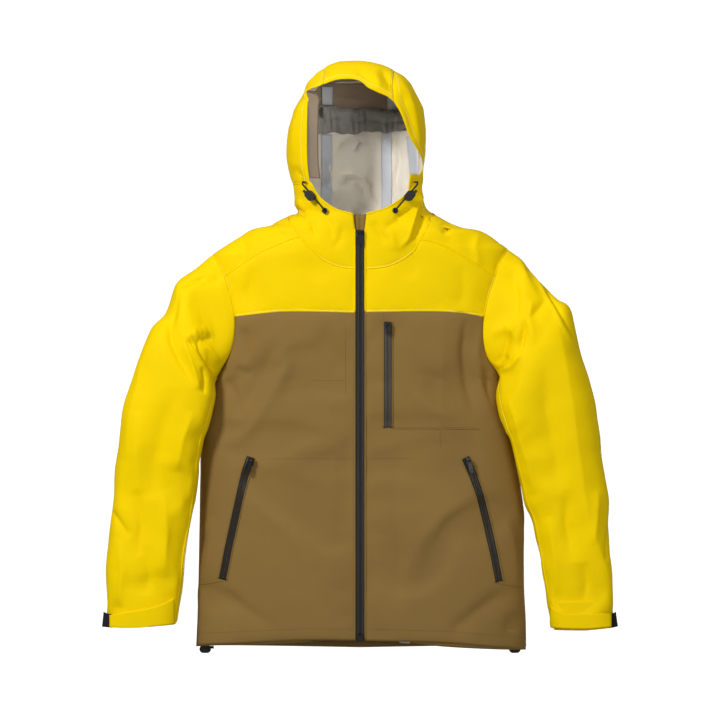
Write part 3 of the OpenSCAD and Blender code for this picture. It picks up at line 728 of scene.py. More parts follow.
def hood_wrinkles(p, seed):
    behind = OUTSIDE_SHARE * back_weight(p) * fold_height(p.p, BACK_FOLDS)
    return front_folds(p, HOOD_FOLDS) + behind + 0.8 * ripple(p.p, 90, seed)


def hood_nape():
    p = Panel(spread(lambda u, v: body(mix(90, 270, u), mix(790, HOOD_LOW, v)), 60, 14))
    p.push(OUTSIDE_SHARE * fold_height(p.p, BACK_FOLDS) * back_weight(p))
    return p


def hood_side(side):
    def at(u, v):
        z = mix(HOOD_LOW, crown_height(side, SEAM_X[side]) - 0.4, v)
        seam = turn(SEAM_X[side], z, side)
        face = turn(curve(z, FACE[side]), z, side)
        start = np.where(z < FACE_TOP[side], np.maximum(face, seam), seam)
        return body(side * mix(start, 180 - seam, u), z)

    p = Panel(spread(at, 60, 50), side < 0)
    p.push(hood_wrinkles(p, 21))
    return p


def hood_centre():
    def over(u, v):
        x = mix(-SEAM_X[RIGHT], SEAM_X[LEFT], u)
        return crown(x, mix(brim_angle(x), 180, v))

    def down(u, v):
        x = mix(-SEAM_X[RIGHT], SEAM_X[LEFT], u)
        z = mix(HOOD_MID, HOOD_LOW, v)
        return body(180 - np.sign(x) * by_side(x, lambda side: turn(x, z, side)), z)

    p = np.concatenate([spread(over, 26, 56, even=False), spread(down, 26, 14, even=False)[1:]])
    p = Panel(p)
    p.push(hood_wrinkles(p, 22))
    return p


CUFF_START, SLEEVE_END, CUFF_INSET = 12.4, 13.9, 1.9


def sleeve_part(side, k0, k1, a0, a1, columns, rows, closed=False, out=0):
    def at(u, v):
        return arm(side, mix(k0, k1, v), mix(a0, a1, u), out)

    p = Panel(spread(at, columns, rows, even=False), side < 0, closed)
    k = mix(k0, k1, np.linspace(0, 1, rows + 1))[:, None]
    loose = step(k, 0.1, 0.8) * (1 - step(k, 13.2, 14))
    p.push(front_folds(p, SLEEVE_FOLDS[side]) * step(k, 0, 0.25) + loose * 1.2 * ripple(p.p, 80, 31 + side))
    return p


# ---- loose wrinkles ------------------------------------------


def crumple(panels, frames=14, growth=0.016, cap=3.2, pitch=9.0):
    """Each panel as cloth a little larger than its place, held along its edge; gravity off.
    It runs on a coarser grid, and the fine grid takes the coarse one's moves."""
    made = []
    for p in panels:
        across, up = p.lengths()
        columns, rows = max(5, int(across / pitch)), max(5, int(up / pitch))
        u, v = grid(columns, rows)
        rest = p.at(u, v)[0]
        mesh = bpy.data.meshes.new("cloth")
        mesh.from_pydata(metres(rest).reshape(-1, 3).tolist(), [], quads(rows, columns).tolist())
        o = bpy.data.objects.new("cloth", mesh)
        scene.collection.objects.link(o)
        index = np.arange(rows * columns).reshape(rows, columns)
        edge = np.unique(np.concatenate([index[0], index[-1], index[:, 0], index[:, -1]]))
        o.vertex_groups.new(name="pin").add([int(e) for e in edge], 1.0, "REPLACE")
        m = o.modifiers.new("cloth", "CLOTH")
        s = m.settings
        s.quality, s.mass, s.air_damping = 5, 0.15, 3
        s.tension_stiffness = s.compression_stiffness = 25
        s.shear_stiffness, s.bending_stiffness = 12, 4
        s.tension_damping = s.compression_damping = 10
        s.vertex_group_mass = "pin"
        s.shrink_min = -growth
        s.effector_weights.gravity = 0
        m.point_cache.frame_start, m.point_cache.frame_end = 1, frames
        m.collision_settings.use_collision = False
        made.append((p, o, rest))
    for f in range(1, frames + 1):
        scene.frame_set(f)
    graph = bpy.context.evaluated_depsgraph_get()
    for p, o, rest in made:
        e = o.evaluated_get(graph)
        co = np.empty(len(e.data.vertices) * 3)
        e.data.vertices.foreach_get("co", co)
        moves = co.reshape(rest.shape) * 1000 + ORIGIN - rest
        for _ in range(2):
            around = moves[:-2, 1:-1] + moves[2:, 1:-1] + moves[1:-1, :-2] + moves[1:-1, 2:]
            moves[1:-1, 1:-1] = (2 * moves[1:-1, 1:-1] + around) / 6
        moved = Panel(moves)
        u, v = grid(p.p.shape[1], p.p.shape[0])
        move = moved.at(u, v)[0]
        size = np.linalg.norm(move, axis=-1, keepdims=True)
        p.p = p.p + move * cap * np.tanh(size / cap) / np.maximum(size, 1e-9)
    for _, o, _ in made:
        bpy.data.objects.remove(o)
    scene.frame_set(1)


# ---- materials -----------------------------------------------


def paint(name, colour, roughness, vary=0.05, weave=0.0, weave_mm=0.8, crinkle=0.0, crinkle_mm=5.0,
          metallic=0.0, shine=0.25, ribs=None):
    """A procedural material: patchy colour, a plain weave and small crinkles in the relief."""
    m = bpy.data.materials.new(name)
    m.use_nodes = True
    link = m.node_tree.links.new

    def node(kind, **values):
        made = m.node_tree.nodes.new("ShaderNode" + kind)
        for key, value in values.items():
            made.inputs[key].default_value = value
        return made

    shader = m.node_tree.nodes["Principled BSDF"]
    for key, value in (("Roughness", roughness), ("Metallic", metallic), ("Specular IOR Level", shine)):
        shader.inputs[key].default_value = value
    place = node("TexCoord").outputs
    patches = node("TexNoise", Scale=9, Detail=5)
    link(place["Object"], patches.inputs["Vector"])
    ramp = node("ValToRGB")
    for e, at, k in zip(ramp.color_ramp.elements, (0.3, 0.7), (1 - vary, 1 + vary)):
        e.position = at
        e.color = (*[min(1, c * k) for c in colour], 1)
    link(patches.outputs["Fac"], ramp.inputs["Fac"])
    link(ramp.outputs["Color"], shader.inputs["Base Color"])
    last = None

    def relief(height, strength, distance):
        nonlocal last
        bump = node("Bump", Strength=strength, Distance=distance)
        link(height, bump.inputs["Height"])
        if last:
            link(last, bump.inputs["Normal"])
        last = bump.outputs["Normal"]

    if crinkle:
        small = node("TexNoise", Scale=1000 / crinkle_mm, Detail=3)
        link(place["Object"], small.inputs["Vector"])
        relief(small.outputs["Fac"], crinkle, 0.0012)
    if weave:
        waves = []
        for way in ("X", "Y") if ribs is None else (ribs,):
            wave = node("TexWave", Scale=314 / weave_mm)
            wave.bands_direction = way
            link(place["UV"], wave.inputs["Vector"])
            waves.append(wave.outputs["Fac"])
        height = waves[0]
        if len(waves) > 1:
            both = node("Math")
            both.operation = "MAXIMUM"
            for wave, socket in zip(waves, both.inputs):
                link(wave, socket)
            height = both.outputs[0]
        relief(height, weave, 0.0002)
    if last:
        link(last, shader.inputs["Normal"])
    return m


YELLOW = paint("yellow shell", (0.90, 0.63, 0.0), 0.6, 0.03, 0.25, 0.7, 0.12, 6, shine=0.05)
BROWN = paint("brown shell", (0.240, 0.146, 0.040), 0.65, 0.05, 0.35, 0.7, 0.12, 6, shine=0.12)
LINING = paint("lining", (0.86, 0.80, 0.69), 0.8, 0.07, 0.3, 1.1, 0.3, 7)
# The brim facing's brown-grey, which is also laid over the top of the hood's inside as painted shade
BRIM_FACING_AND_SHADE = paint("brim facing", (0.36, 0.275, 0.195), 0.75, 0.06, 0.3, 0.9, 0.2, 6)
TAPE = paint("seam tape", (0.58, 0.61, 0.66), 0.45, 0.06, 0.1, 1.0, 0.35, 5)
GATHER = paint("gathered band", (0.34, 0.33, 0.312), 0.5, 0.4, 0.3, 0.9, 0.4, 4)
THREAD = paint("thread", (0.95, 0.86, 0.30), 0.6, 0.04, 0.6, 0.5, ribs="X")
BROWN_THREAD = paint("brown thread", (0.15, 0.09, 0.03), 0.6, 0.04, 0.6, 0.5, ribs="X")
ZIP = paint("zip tape", (0.020, 0.018, 0.016), 0.38, 0.15, 0.2, 0.6, 0.1, 3)
ZIP_SOFT = paint("chest zip tape", (0.055, 0.05, 0.043), 0.5, 0.12, 0.2, 0.6, 0.1, 3)
COIL = paint("coil", (0.02, 0.019, 0.018), 0.35, 0.1, 0.5, 1.2, ribs="Y")
METAL = paint("black metal", (0.035, 0.034, 0.033), 0.3, 0.1, crinkle=0.05, metallic=0.7)
PLASTIC = paint("black plastic", (0.03, 0.029, 0.028), 0.42, 0.1, crinkle=0.15, crinkle_mm=1.2)
CORD = paint("elastic cord", (0.018, 0.018, 0.018), 0.7, 0.2, 0.8, 0.9)
LOOPS = paint("loop tape", (0.014, 0.013, 0.012), 0.95, 0.3, 0.6, 0.9, 0.8, 1.2)
WEBBING = paint("webbing", (0.03, 0.03, 0.03), 0.7, 0.15, 0.8, 1.2, ribs="Y")
FLOOR = paint("floor", (0.9, 0.9, 0.9), 0.9, 0.01)
FLOOR.node_tree.nodes["Principled BSDF"].inputs["Emission Color"].default_value = (1, 1, 1, 1)
FLOOR.node_tree.nodes["Principled BSDF"].inputs["Emission Strength"].default_value = 0.9

# ---- meshes --------------------------------------------------


def mesh_object(name, vertices, faces, materials, kinds=None, uv=None, smooth=None):
    mesh = bpy.data.meshes.new(name)
    mesh.from_pydata(metres(vertices).tolist(), [], [list(map(int, f)) for f in faces])
    for m in materials:
        mesh.materials.append(m)
    if kinds is not None:
        mesh.polygons.foreach_set("material_index", np.asarray(kinds, np.int32))
    mesh.polygons.foreach_set("use_smooth", np.ones(len(faces), bool) if smooth is None else smooth)
    if uv is not None:
        corner = np.empty(len(mesh.loops), np.int32)
        mesh.loops.foreach_get("vertex_index", corner)
        layer = mesh.uv_layers.new(name="flat")
        layer.data.foreach_set("uv", (uv[corner] / 1000).astype(np.float32).ravel())
    mesh.update()
    o = bpy.data.objects.new(name, mesh)
    scene.collection.objects.link(o)
    return o


def sew(panel, name, outside, inside, thick=1.0):
    """The panel as cloth of that thickness, one material outside and one inside."""
    p, n = panel.p, panel.flat_normals
    rows, columns = p.shape[:2]
    count = rows * columns
    both = np.concatenate([p.reshape(-1, 3), (p - n * thick).reshape(-1, 3)])
    quad = quads(rows, columns)
    loop = [*range(columns), *range(2 * columns - 1, count, columns),
            *range(count - 2, count - columns - 1, -1), *range(count - 2 * columns, 0, -columns)]
    rim = np.array([(e, s, s + count, e + count) for s, e in zip(loop, loop[1:] + loop[:1])])
    faces = np.concatenate([quad, quad[:, ::-1] + count, rim])
    if panel.out < 0:
        faces = faces[:, ::-1]
    kinds = np.concatenate([np.zeros(len(quad)), np.ones(len(quad)), np.zeros(len(rim))])
    smooth = np.concatenate([np.ones(2 * len(quad), bool), np.zeros(len(rim), bool)])
    uv = np.tile(np.stack([run_along(p, 1), run_along(p)], -1).reshape(-1, 2), (2, 1))
    return mesh_object(name, both, faces, [outside, inside], kinds, uv, smooth)


def fix(o, body_name):
    """Parents the piece to a body; a piece on the hood or a sleeve only has its place baked into its mesh."""
    if body_name == "hood":
        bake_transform(o)
    elif body_name in ("arm_left", "arm_right"):
        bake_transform(o)
    else:
        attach(o, body_name)


LEAST_CUT = 0.301  # of a sheet's rectangle, where the cut is much narrower at one end


def cloth(panel, name, outside, inside, body_name, slot, thick=1.0, held="stretched"):
    across, up = panel.lengths()
    o = sew(panel, name, outside, inside, thick)
    flat = (across / 1000, up / 1000)
    whole = flat[0] * flat[1]
    min(whole, max(panel.area() / 1e6, LEAST_CUT * whole))
    fix(o, body_name)
    return o


# ---- build the panels ----------------------------------------

fabric = {}
for side, word in SIDES:
    fabric["front_panel_" + word] = front_panel(side)
    fabric["front_yoke_" + word] = front_yoke(side)
    fabric["shoulder_" + word] = shoulder(side)
    fabric["collar_" + word] = collar(side)
    fabric["hood_side_" + word] = hood_side(side)
    seam = 180 - UNDER_HALF
    fabric["sleeve_top_" + word] = sleeve_part(side, 0, SLEEVE_END, -seam, seam, 130, 230)
    fabric["sleeve_under_" + word] = sleeve_part(side, 0, SLEEVE_END, seam, 360 - seam, 26, 230)
    fabric["cuff_" + word] = sleeve_part(side, CUFF_START, LAST_RING, 180, 540, 120, 20, True, -CUFF_INSET)
fabric["back_panel"] = back_panel()
fabric["back_yoke"] = back_yoke()
fabric["hood_nape"] = hood_nape()
fabric["hood_centre"] = hood_centre()

crumple([p for n, p in fabric.items() if not n.startswith(("cuff", "hood_nape"))])

for node, panel in fabric.items():
    word = node.rsplit("_", 1)[-1]
    if node.startswith("sleeve"):
        rides = "arm_" + word
    elif node.startswith("cuff"):
        rides = "sleeve_" + word
    elif node.startswith(("collar", "hood_side", "hood_centre")):
        rides = "hood"
    else:
        rides = "shell"
    outside, slot = (BROWN, "shell_brown") if "panel" in node else (YELLOW, "shell_yellow")
    inside = outside if node.startswith(("front", "sleeve", "shoulder")) else LINING
    o = cloth(panel, node + ".cloth", outside, inside, rides, slot)
    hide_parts(node)
    if node.startswith("sleeve_top"):
        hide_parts("sleeve_cap_" + word)

# ---- strips and threads that lie on the cloth, looked up from the front 


def tree_of(names):
    vertices, faces = [], []
    for name in names:
        p = fabric[name].p
        faces += (quads(*p.shape[:2]) + len(vertices)).tolist()
        vertices += p.reshape(-1, 3).tolist()
    return BVHTree.FromPolygons(vertices, faces)


FRONT = tree_of([n for n in fabric if n.startswith(("front", "shoulder", "collar"))])


def seen(path, pitch=3.0):
    """The points and normals of the cloth straight behind a path of (x, height)."""
    path = np.array(path, float)
    s = run_along(path)
    n = max(2, int(s[-1] / pitch) + 1)
    want = np.linspace(0, s[-1], n)
    points, normals = [], []
    for x, z in along(want, s, path):
        hit, normal, _, _ = FRONT.ray_cast(Vector((x, -400, z)), Vector((0, 1, 0)))
        if hit is not None:
            points.append(hit)
            normals.append(normal if normal.y < 0 else -normal)
    return np.array(points), np.array(normals)


def ribbon(name, line, width, height, material, body_name, slot=None, lift=0.0):
    """A strip with a crowned back laid along the line."""
    p, n = line
    across = unit(np.cross(unit(np.gradient(p, axis=0)), n))
    a = np.linspace(-1, 1, 5)
    top = [p + across * w * width / 2 + n * (lift + height * (1 - w**4)) for w in a]
    under = [p + across * w * width / 2 + n * (lift - 0.4) for w in a[::-1]]
    rings = np.stack(top + under, 1)
    return tube_mesh(name, rings, material, body_name)


def tube_mesh(name, rings, material, body_name):
    count, sides = rings.shape[:2]
    i, j = np.meshgrid(np.arange(sides), np.arange(count - 1))
    a, b = (j * sides + i).ravel(), (j * sides + (i + 1) % sides).ravel()
    faces = np.stack([a, b, b + sides, a + sides], 1).tolist()
    faces += [list(range(sides))[::-1], list(range((count - 1) * sides, count * sides))]
    along = run_along(rings.mean(1))
    uv = np.stack([np.tile(np.arange(sides) * 1.0, count), np.repeat(along, sides)], 1)
    o = mesh_object(name, rings.reshape(-1, 3), faces, [material], uv=uv)
    if body_name:
        fix(o, body_name)
    return o


def stitches(name, lines, material, body_name, slot, long=2.6, gap=1.0, wide=0.8, high=0.5):
    """Rows of thread, one short bar for each stitch."""
    vertices, faces = [], []
    for p, n in lines:
        s = run_along(p)
        starts = np.arange(0, s[-1] - long, long + gap)
        for d in starts:
            a, b, up = along(d, s, p), along(d + long, s, p), along(d, s, n)
            way = (b - a) / max(np.linalg.norm(b - a), 1e-6)
            across = np.cross(way, up) * wide / 2
            base = len(vertices)
            mid = (a + b) / 2
            for q, k in ((a, 0.15), (mid, 1.0), (b, 0.15)):
                vertices += [q - across, q + up * high * k, q + across]
            for r in (0, 3):
                for e in (0, 1):
                    faces.append((base + r + e, base + r + e + 1, base + r + e + 4, base + r + e + 3))
            faces += [(base, base + 2, base + 1), (base + 6, base + 7, base + 8)]
    vertices = np.array(vertices)
    fix(mesh_object(name, vertices, faces, [material], uv=vertices[:, [0, 2]]), body_name)


def rim(node, edge, inset):
    """A line along a panel's edge, inset from it: u0, u1, v0 or v1."""
    panel = fabric[node]
    across, up = panel.lengths()
    count = int((up if edge[0] == "u" else across) / 3) + 2
    run = np.linspace(0.002, 0.998, count)
    k = inset / (across if edge[0] == "u" else up)
    k = 1 - k if edge[1] == "1" else k
    return panel.at(k * np.ones(count), run) if edge[0] == "u" else panel.at(run, k * np.ones(count))


# Rows of thread: the panel, its edge and how far in, for both sides and then for the middle panels
SHELL, ON_HOOD = ("shell", "shell_yellow"), ("hood", "shell_yellow")
for side, word in SIDES:
    arm_ride = ("arm_" + word, "shell_yellow")
    for name, edges, thread, rides in (
        ("yoke", (("front_yoke_", "v0", 2.2), ("shoulder_", "v0", 1.6),
                  ("shoulder_", "u1", 1.5), ("front_yoke_", "u1", 1.5)), THREAD, SHELL),
        ("collar", (("collar_", "v0", 2.0),), THREAD, ON_HOOD),
        ("hood_edge", (("hood_side_", "u0", 11), ("hood_side_", "u1", 2)), THREAD, ON_HOOD),
        ("cuff", (("sleeve_top_", "v1", 26),), THREAD, ("sleeve_" + word, "shell_yellow")),
        ("sleeve", (("sleeve_top_", "u1", 2), ("sleeve_top_", "u0", 2)), THREAD, arm_ride),
        ("hem", (("front_panel_", "v0", 22),), BROWN_THREAD, ("shell", "shell_brown")),
    ):
        lines = [rim(node + word, edge, inset) for node, edge, inset in edges]
        stitches(f"{name}_stitches_{word}", lines, thread, *rides)
    # Raised seams
    for node, edge, rides in (
        ("shoulder_", "v0", SHELL), ("shoulder_", "u1", SHELL),
        ("front_yoke_", "v0", SHELL), ("front_yoke_", "u1", SHELL),
        ("collar_", "v0", ON_HOOD), ("collar_", "v1", ON_HOOD),
        ("hood_side_", "u1", ON_HOOD), ("sleeve_top_", "u1", arm_ride),
    ):
        ribbon(f"seam_{node}{edge}_{word}", rim(node + word, edge, 0.2), 3.4, 1.0, YELLOW, *rides)
    # Cloth beneath the collar's corner, where collar, shoulder and hood meet
    u, v = grid(24, 16)
    stay = Panel(body(side * mix(52, 118, u), mix(750, 866, v), 3.2), side < 0)
    cloth(stay, "neck_stay_" + word + ".cloth", YELLOW, LINING, *SHELL)
for name, edges, thread, rides in (
    ("crown", (("hood_centre", "v0", 11), ("hood_centre", "u0", 2), ("hood_centre", "u1", 2)), THREAD, ON_HOOD),
    ("back", (("back_panel", "v0", 20),), BROWN_THREAD, ("shell", "shell_brown")),
    ("back_yoke", (("back_yoke", "v0", 2), ("back_yoke", "v1", 2)), THREAD, SHELL),
):
    stitches(name + "_stitches", [rim(*edge) for edge in edges], thread, *rides)

# ---- front zip -----------------------------------------------

ZIP_LOW, ZIP_HIGH = 29, 765


def upright(x, low, high, y, rows):
    """A straight line up the front, and its normals."""
    z = mix(low, high, np.linspace(0, 1, rows + 1))
    return np.stack([x + 0 * z, y + 0 * z, z], -1), np.tile([0, -1.0, 0], (rows + 1, 1))


WELT_X, WELT_Y = 9.4, -80.2
for side, word in SIDES:
    u, v = grid(5, 61)
    tape = Panel(np.stack([mix(side * 0.5, side * 7.9, u), -80.9 + 0 * u, mix(ZIP_LOW, ZIP_HIGH, v)], -1), side < 0)
    tape.push(0.9 * np.sin(np.pi * np.linspace(0.1, 1, 5)))
    o = sew(tape, "front_zip_tape_" + word, ZIP, ZIP, 0.8)
    fix(o, "shell")
    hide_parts("front_zip_" + word)
    coil = upright(side * 1.1, ZIP_LOW + 10, ZIP_HIGH, -81.3, 120)
    ribbon("front_coil_" + word, coil, 1.9, 0.8, COIL, "shell", "zip_tape")
    p, n = upright(side * WELT_X, 29, 690, WELT_Y, 160)
    low = p[:, 2] < YOKE_LOW
    ribbon("front_welt_" + word, (p[low], n[low]), 3.6, 1.6, BROWN, "shell", "shell_brown")
    ribbon("yoke_welt_" + word, upright(side * WELT_X, YOKE_LOW + 1, 766, WELT_Y, 60), 3.6, 1.6, YELLOW, *SHELL)

flap_u, flap_v = grid(17, 110)
wave = 1.5 * np.sin(flap_u * 21 + flap_v * 3) * step(flap_v, 0.9, 0.97)
flap = Panel(np.stack([mix(-20, 20, flap_u), -75.5 + wave, mix(36, 793, flap_v)], -1))
o = cloth(flap, "storm_flap.cloth", BROWN, LINING, "shell", "shell_brown")
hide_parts("storm_flap")

# ---- pocket zips ---------------------------------------------


ZIP_LIFT = 0.6


def zip_on_cloth(name, line, half, node, tape_material):
    """A coated zip let into the cloth along a line, between two raised lips."""
    p, n = line
    across = unit(np.cross(unit(np.gradient(p, axis=0)), n))
    for i, s in enumerate((-1, 1)):
        o = ribbon(f"{name}_tape_{i}", (p + across * s * half / 2, n), half - 0.7, 1.0, tape_material, "shell",
                   "zip_tape", ZIP_LIFT)
        if i == 0:
            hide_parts(node)
        ribbon(f"{name}_lip_{i}", (p + across * s * (half + 0.9), n), 2.6, 2.0, BROWN, "shell", "shell_brown")


def pocket_bag(name, side, reach, height, deep, bulge):
    """One hung sheet behind the front, deepest low in its middle."""
    u, v = grid(15, 20)
    inset = deep + bulge * np.sin(u * 3.1) * (1 - v)
    bag = Panel(on_front(side, mix(*reach, u), mix(*height, v), inset), side < 0)
    o = cloth(bag, name + ".cloth", LINING, LINING, "shell", "lining", held="hung")
    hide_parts(name)


chest_line = seen([(50, 601), (50, 411)])
zip_on_cloth("chest_zip", chest_line, 7, "chest_zip", ZIP_SOFT)
hand_paths = {LEFT: [(189, 357), (203, 325), (216, 287), (229, 235), (240, 185), (250, 134)],
              RIGHT: [(-196, 358), (-206, 328), (-215, 290), (-226, 240), (-237, 190), (-247, 138)]}
for side, word in SIDES:
    zip_on_cloth("hand_zip_" + word, seen(hand_paths[side]), 7.2, "hand_zip_" + word, ZIP)
    pocket_bag("hand_bag_" + word, side, (80, 240), (95, 350), 15, 2.5)
pocket_bag("chest_bag", LEFT, (64, 205), (415, 600), 14, 2)

# Faint seams and stitch lines on the front
stitches("front_stitches", [seen(path) for path in (
    [(59, 411), (140, 411), (214, 410)], [(145, 408), (145, 373)], [(42.5, 600), (42.5, 617)], [(12, 355), (98, 355)],
    [(-12, 355), (-163, 355)], [(-26, 470), (-26, 596)], [(-89, 495), (-26, 495)])],
    BROWN_THREAD, "shell", "shell_brown")
for i, path in enumerate(([(59, 409), (140, 409), (214, 408)], [(249, 131), (272, 126), (290, 123)],
                          [(-247, 135), (-268, 131), (-286, 128)])):
    ribbon(f"pocket_seam_{i}", seen(path), 1.8, 0.9, BROWN, "shell", "shell_brown")

# ---- inside the hood -----------------------------------------

BACK_WALL = tree_of(["hood_side_left", "hood_side_right", "hood_centre", "hood_nape"])


def wall(x, z, off):
    """A sheet on the hood's far side straight behind (x, z), off it towards the eye."""
    points = np.empty(x.shape + (3,))
    for k in np.ndindex(x.shape):
        hit = BACK_WALL.ray_cast(Vector((x[k], 2, z[k])), Vector((0, 1, 0)))[0]
        points[k] = Vector((x[k], 60, z[k])) if hit is None else hit
    return Panel(points + np.array([0, -1.0, 0]) * np.asarray(off)[..., None])


def flat_folds(x, z, folds):
    return fold_height(np.stack([x, 0 * x, z], -1), folds)


def drape(name, x, z, material, off, dips, folds):
    """A sheet laid before the hood's far side, wrinkled towards the eye."""
    height = off - flat_folds(x, z, folds) + dips * ripple(np.stack([x, 0 * x, z], -1), 26, 5)
    cloth(wall(x, z, np.maximum(height, 1.4)), name + ".cloth", material, material, "hood", "lining", 0.8)


u, v = grid(110, 84)
drape("hood_lining", mix(-104, 106, u), mix(797, 951, v), LINING, 9, 1.0, BACK_FOLDS)
# Painted shade: a brown-grey sheet over the top of the hood's far side, darker than the lining there
u, v = grid(80, 24)
TOP_FOLDS = [([(-96, 1000), (-40, 1012), (20, 1004)], -4, 8, 12, 1.3),
             ([(-70, 1022), (-20, 1016), (30, 1022)], 3, 7, 7, 1.4)]
drape("hood_lining_top", mix(mix(-98, -72, v), mix(96, 66, v), u), mix(990, 1036, v), BRIM_FACING_AND_SHADE, 4, 0.8, TOP_FOLDS)

u, v = grid(140, 30)
bx = mix(-100, 104, u)
bz = mix(mix(944, 952, u), mix(997, 986, u), v) + 2.0 * np.sin(bx / 11) + 1.2 * np.sin(bx / 4.3)
channel = 5.0 * np.exp(-(((v - 0.74) / 0.2) ** 4)) - 1.5 * np.exp(-(((v - 0.46) / 0.06) ** 2))
puckers = 2.6 * np.sin(bx / 2.6 + 2.2 * np.sin(bx / 9) + 1.3 * v) * np.sin(np.pi * v) ** 0.5
puckers += 1.8 * np.sin(bx / 6.1 + 5 * v)
band = wall(bx, bz, 11 + channel + puckers)
o = cloth(band, "hood_tunnel.cloth", GATHER, GATHER, "hood", "tunnel_fabric", 0.8, "gathered")
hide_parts("hood_tunnel")

SEAM_TAPES = [([(48, 803), (49, 850), (48, 900), (49, 950)], 19),
              ([(-62, 812), (-61, 850), (-60, 900), (-61, 945)], 20),
              ([(-60, 998), (-59, 1030)], 19), ([(60, 990), (58, 1020)], 18), ([(98, 870), (96, 900), (92, 940)], 15)]
for i, (path, wide) in enumerate(SEAM_TAPES):
    path = np.array(path, float)
    s = run_along(path)
    want = np.linspace(0, s[-1], int(s[-1] / 4) + 2)
    u, v = np.meshgrid(np.linspace(-0.5, 0.5, 7), np.arange(len(want)))
    middle = along(want, s, path)
    x, z = middle[:, :1] + u * wide, middle[:, 1:] + 0 * u
    off = 10.5 - flat_folds(x, z, BACK_FOLDS) + 0.35 * np.sin(z / 3.1 + 3 * u)
    cloth(wall(x, z, off), f"seam_tape_{i}.cloth", TAPE, TAPE, "hood", "lining", 0.5)

u, v = np.meshgrid(np.linspace(0.01, 0.99, 40), np.linspace(0.001, 0.5, 36))
bp, bn = fabric["hood_centre"].at(u, v)
o = cloth(Panel(bp - bn * 1.5), "hood_brim.cloth", BRIM_FACING_AND_SHADE, BRIM_FACING_AND_SHADE, "hood", "brim_facing", 0.6)
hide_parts("hood_brim")
# The turned-in facing down the inner edge of the face opening, on the wearer's right
u, v = grid(8, 50)
edge = fabric["hood_side_right"].at(0 * u + 0.004, mix(0.04, 0.8, v))[0]
strip = edge + np.stack([21 * u, 14 * u**0.8, 0 * u], -1)
strip[..., 1] += 1.2
cloth(Panel(strip, True), "brim_strip_right.cloth", BRIM_FACING_AND_SHADE, BRIM_FACING_AND_SHADE, "hood", "brim_facing", 0.6)

# ---- hang loop and hem band ----------------------------------

arch = np.linspace(0, math.pi, 25)
LOOP_R, LOOP_LEG, LOOP_TOP = 18.7, 14, 19.4
turned = np.stack([np.cos(arch), 0 * arch, np.sin(arch)], 1)
loop_line = np.concatenate([[(LOOP_R, 0, -LOOP_LEG)], LOOP_R * turned, [(-LOOP_R, 0, -LOOP_LEG)]])
loop_line += ORIGIN - [0, 0, LOOP_TOP]
loop_out = np.concatenate([[(1, 0, 0)], turned, [(-1, 0, 0)]])
o = ribbon("hang_loop.tape", (loop_line, loop_out), 6, 0.5, WEBBING, "shell", "webbing")
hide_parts("hang_loop")

hem_u, hem_v = grid(120, 5)
HEM_START = 12  # degrees each way from the zip
t = mix(HEM_START, 360 - HEM_START, hem_u)
HEM_HALF = {LEFT: 300, RIGHT: 297}
front_hem = by_side(np.sin(np.radians(t)), lambda side: curve(hem_reach(t) * HEM_HALF[side], HEM[side]))
hem_z = np.where(np.cos(np.radians(t)) >= 0, front_hem, back_hem(t))
hem = Panel(body(t, hem_z + mix(1, 38, hem_v), 1.6))
o = cloth(hem, "hem_band.cloth", BROWN, BROWN, "shell", "shell_brown")
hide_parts("hem_band")

# ---- hood cords ----------------------------------------------

CORD_ROUTE = [(99.8, -60.8, 851), (102.6, -64.2, 850.9), (103, -66.6, 847.6), (99.5, -67.8, 843),
              (83.3, -74.4, 824), (68, -80.6, 806), (64.4, -81.6, 801.2), (63.5, -76, 800)]


def smooth_path(points, each=6):
    p = np.array(points, float)
    t = np.arange(len(p))
    want = np.linspace(0, len(p) - 1, (len(p) - 1) * each + 1)
    return np.stack([curve(want, list(zip(t, p[:, c]))) for c in range(3)], 1)


def round_rings(path, radius, sides=10):
    way = unit(np.gradient(path, axis=0))
    a = unit(np.cross(way, [0, 1.0, 0.2]))
    b = np.cross(way, a)
    w = np.linspace(0, 2 * math.pi, sides, endpoint=False)
    return path[:, None] + radius * (a[:, None] * np.cos(w)[:, None] + b[:, None] * np.sin(w)[:, None])


for side, word in SIDES:
    path = smooth_path(CORD_ROUTE) * [side, 1, 1]
    o = tube_mesh("hood_cord_" + word + ".cord", round_rings(path, 1.5), CORD, None)
    fix(o, "shell")
    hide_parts("hood_cord_" + word)

# The cord comes out of a short slit above and goes into a dark eyelet below. The slit is a raised black strip,
# painted shade in the opening, and the eyelet is a solid black disc whose filled hole is painted shade
EYELET, EYELET_WAY = (63.5, -77.8, 800), (0.40, -0.91, 0.10)
SLIT = [(96, -63.6, 851.5), (100, -61.8, 852), (104, -59.6, 852.3)]
rings = []
for radius, high in ((0.6, -0.6), (2.6, -0.4), (3.4, 0.9), (4.4, 1.5), (5.2, 0.9), (5.4, -0.6)):
    w = np.linspace(0, 2 * math.pi, 28, endpoint=False)
    way = unit(np.array(EYELET_WAY))
    a = unit(np.cross(way, [0, 0, 1.0]))
    b = np.cross(way, a)
    rings.append(np.array(EYELET) + radius * (np.cos(w)[:, None] * a + np.sin(w)[:, None] * b) + high * way)
for side, word in SIDES:
    o = tube_mesh(f"hood_eyelet_{word}.ring", np.array(rings) * [side, 1, 1], PLASTIC, "shell")
    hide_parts("hood_eyelets")
    p = smooth_path(SLIT, 5) * [side, 1, 1]
    n = np.tile([0.45 * side, -0.89, 0.0], (len(p), 1))
    ribbon("cord_slit_" + word, (p, n), 2.4, 1.4, PLASTIC, "shell", "lock_plastic")

# ---- cuffs ---------------------------------------------------

# The tab's upper edge, as (distance from the middle, height)
TAB_TOP = {RIGHT: [(336, 106), (366, 92), (390, 86), (418, 81), (446, 75)],
           LEFT: [(345, 92), (360, 82), (373, 78), (442, 78), (450, 74)]}


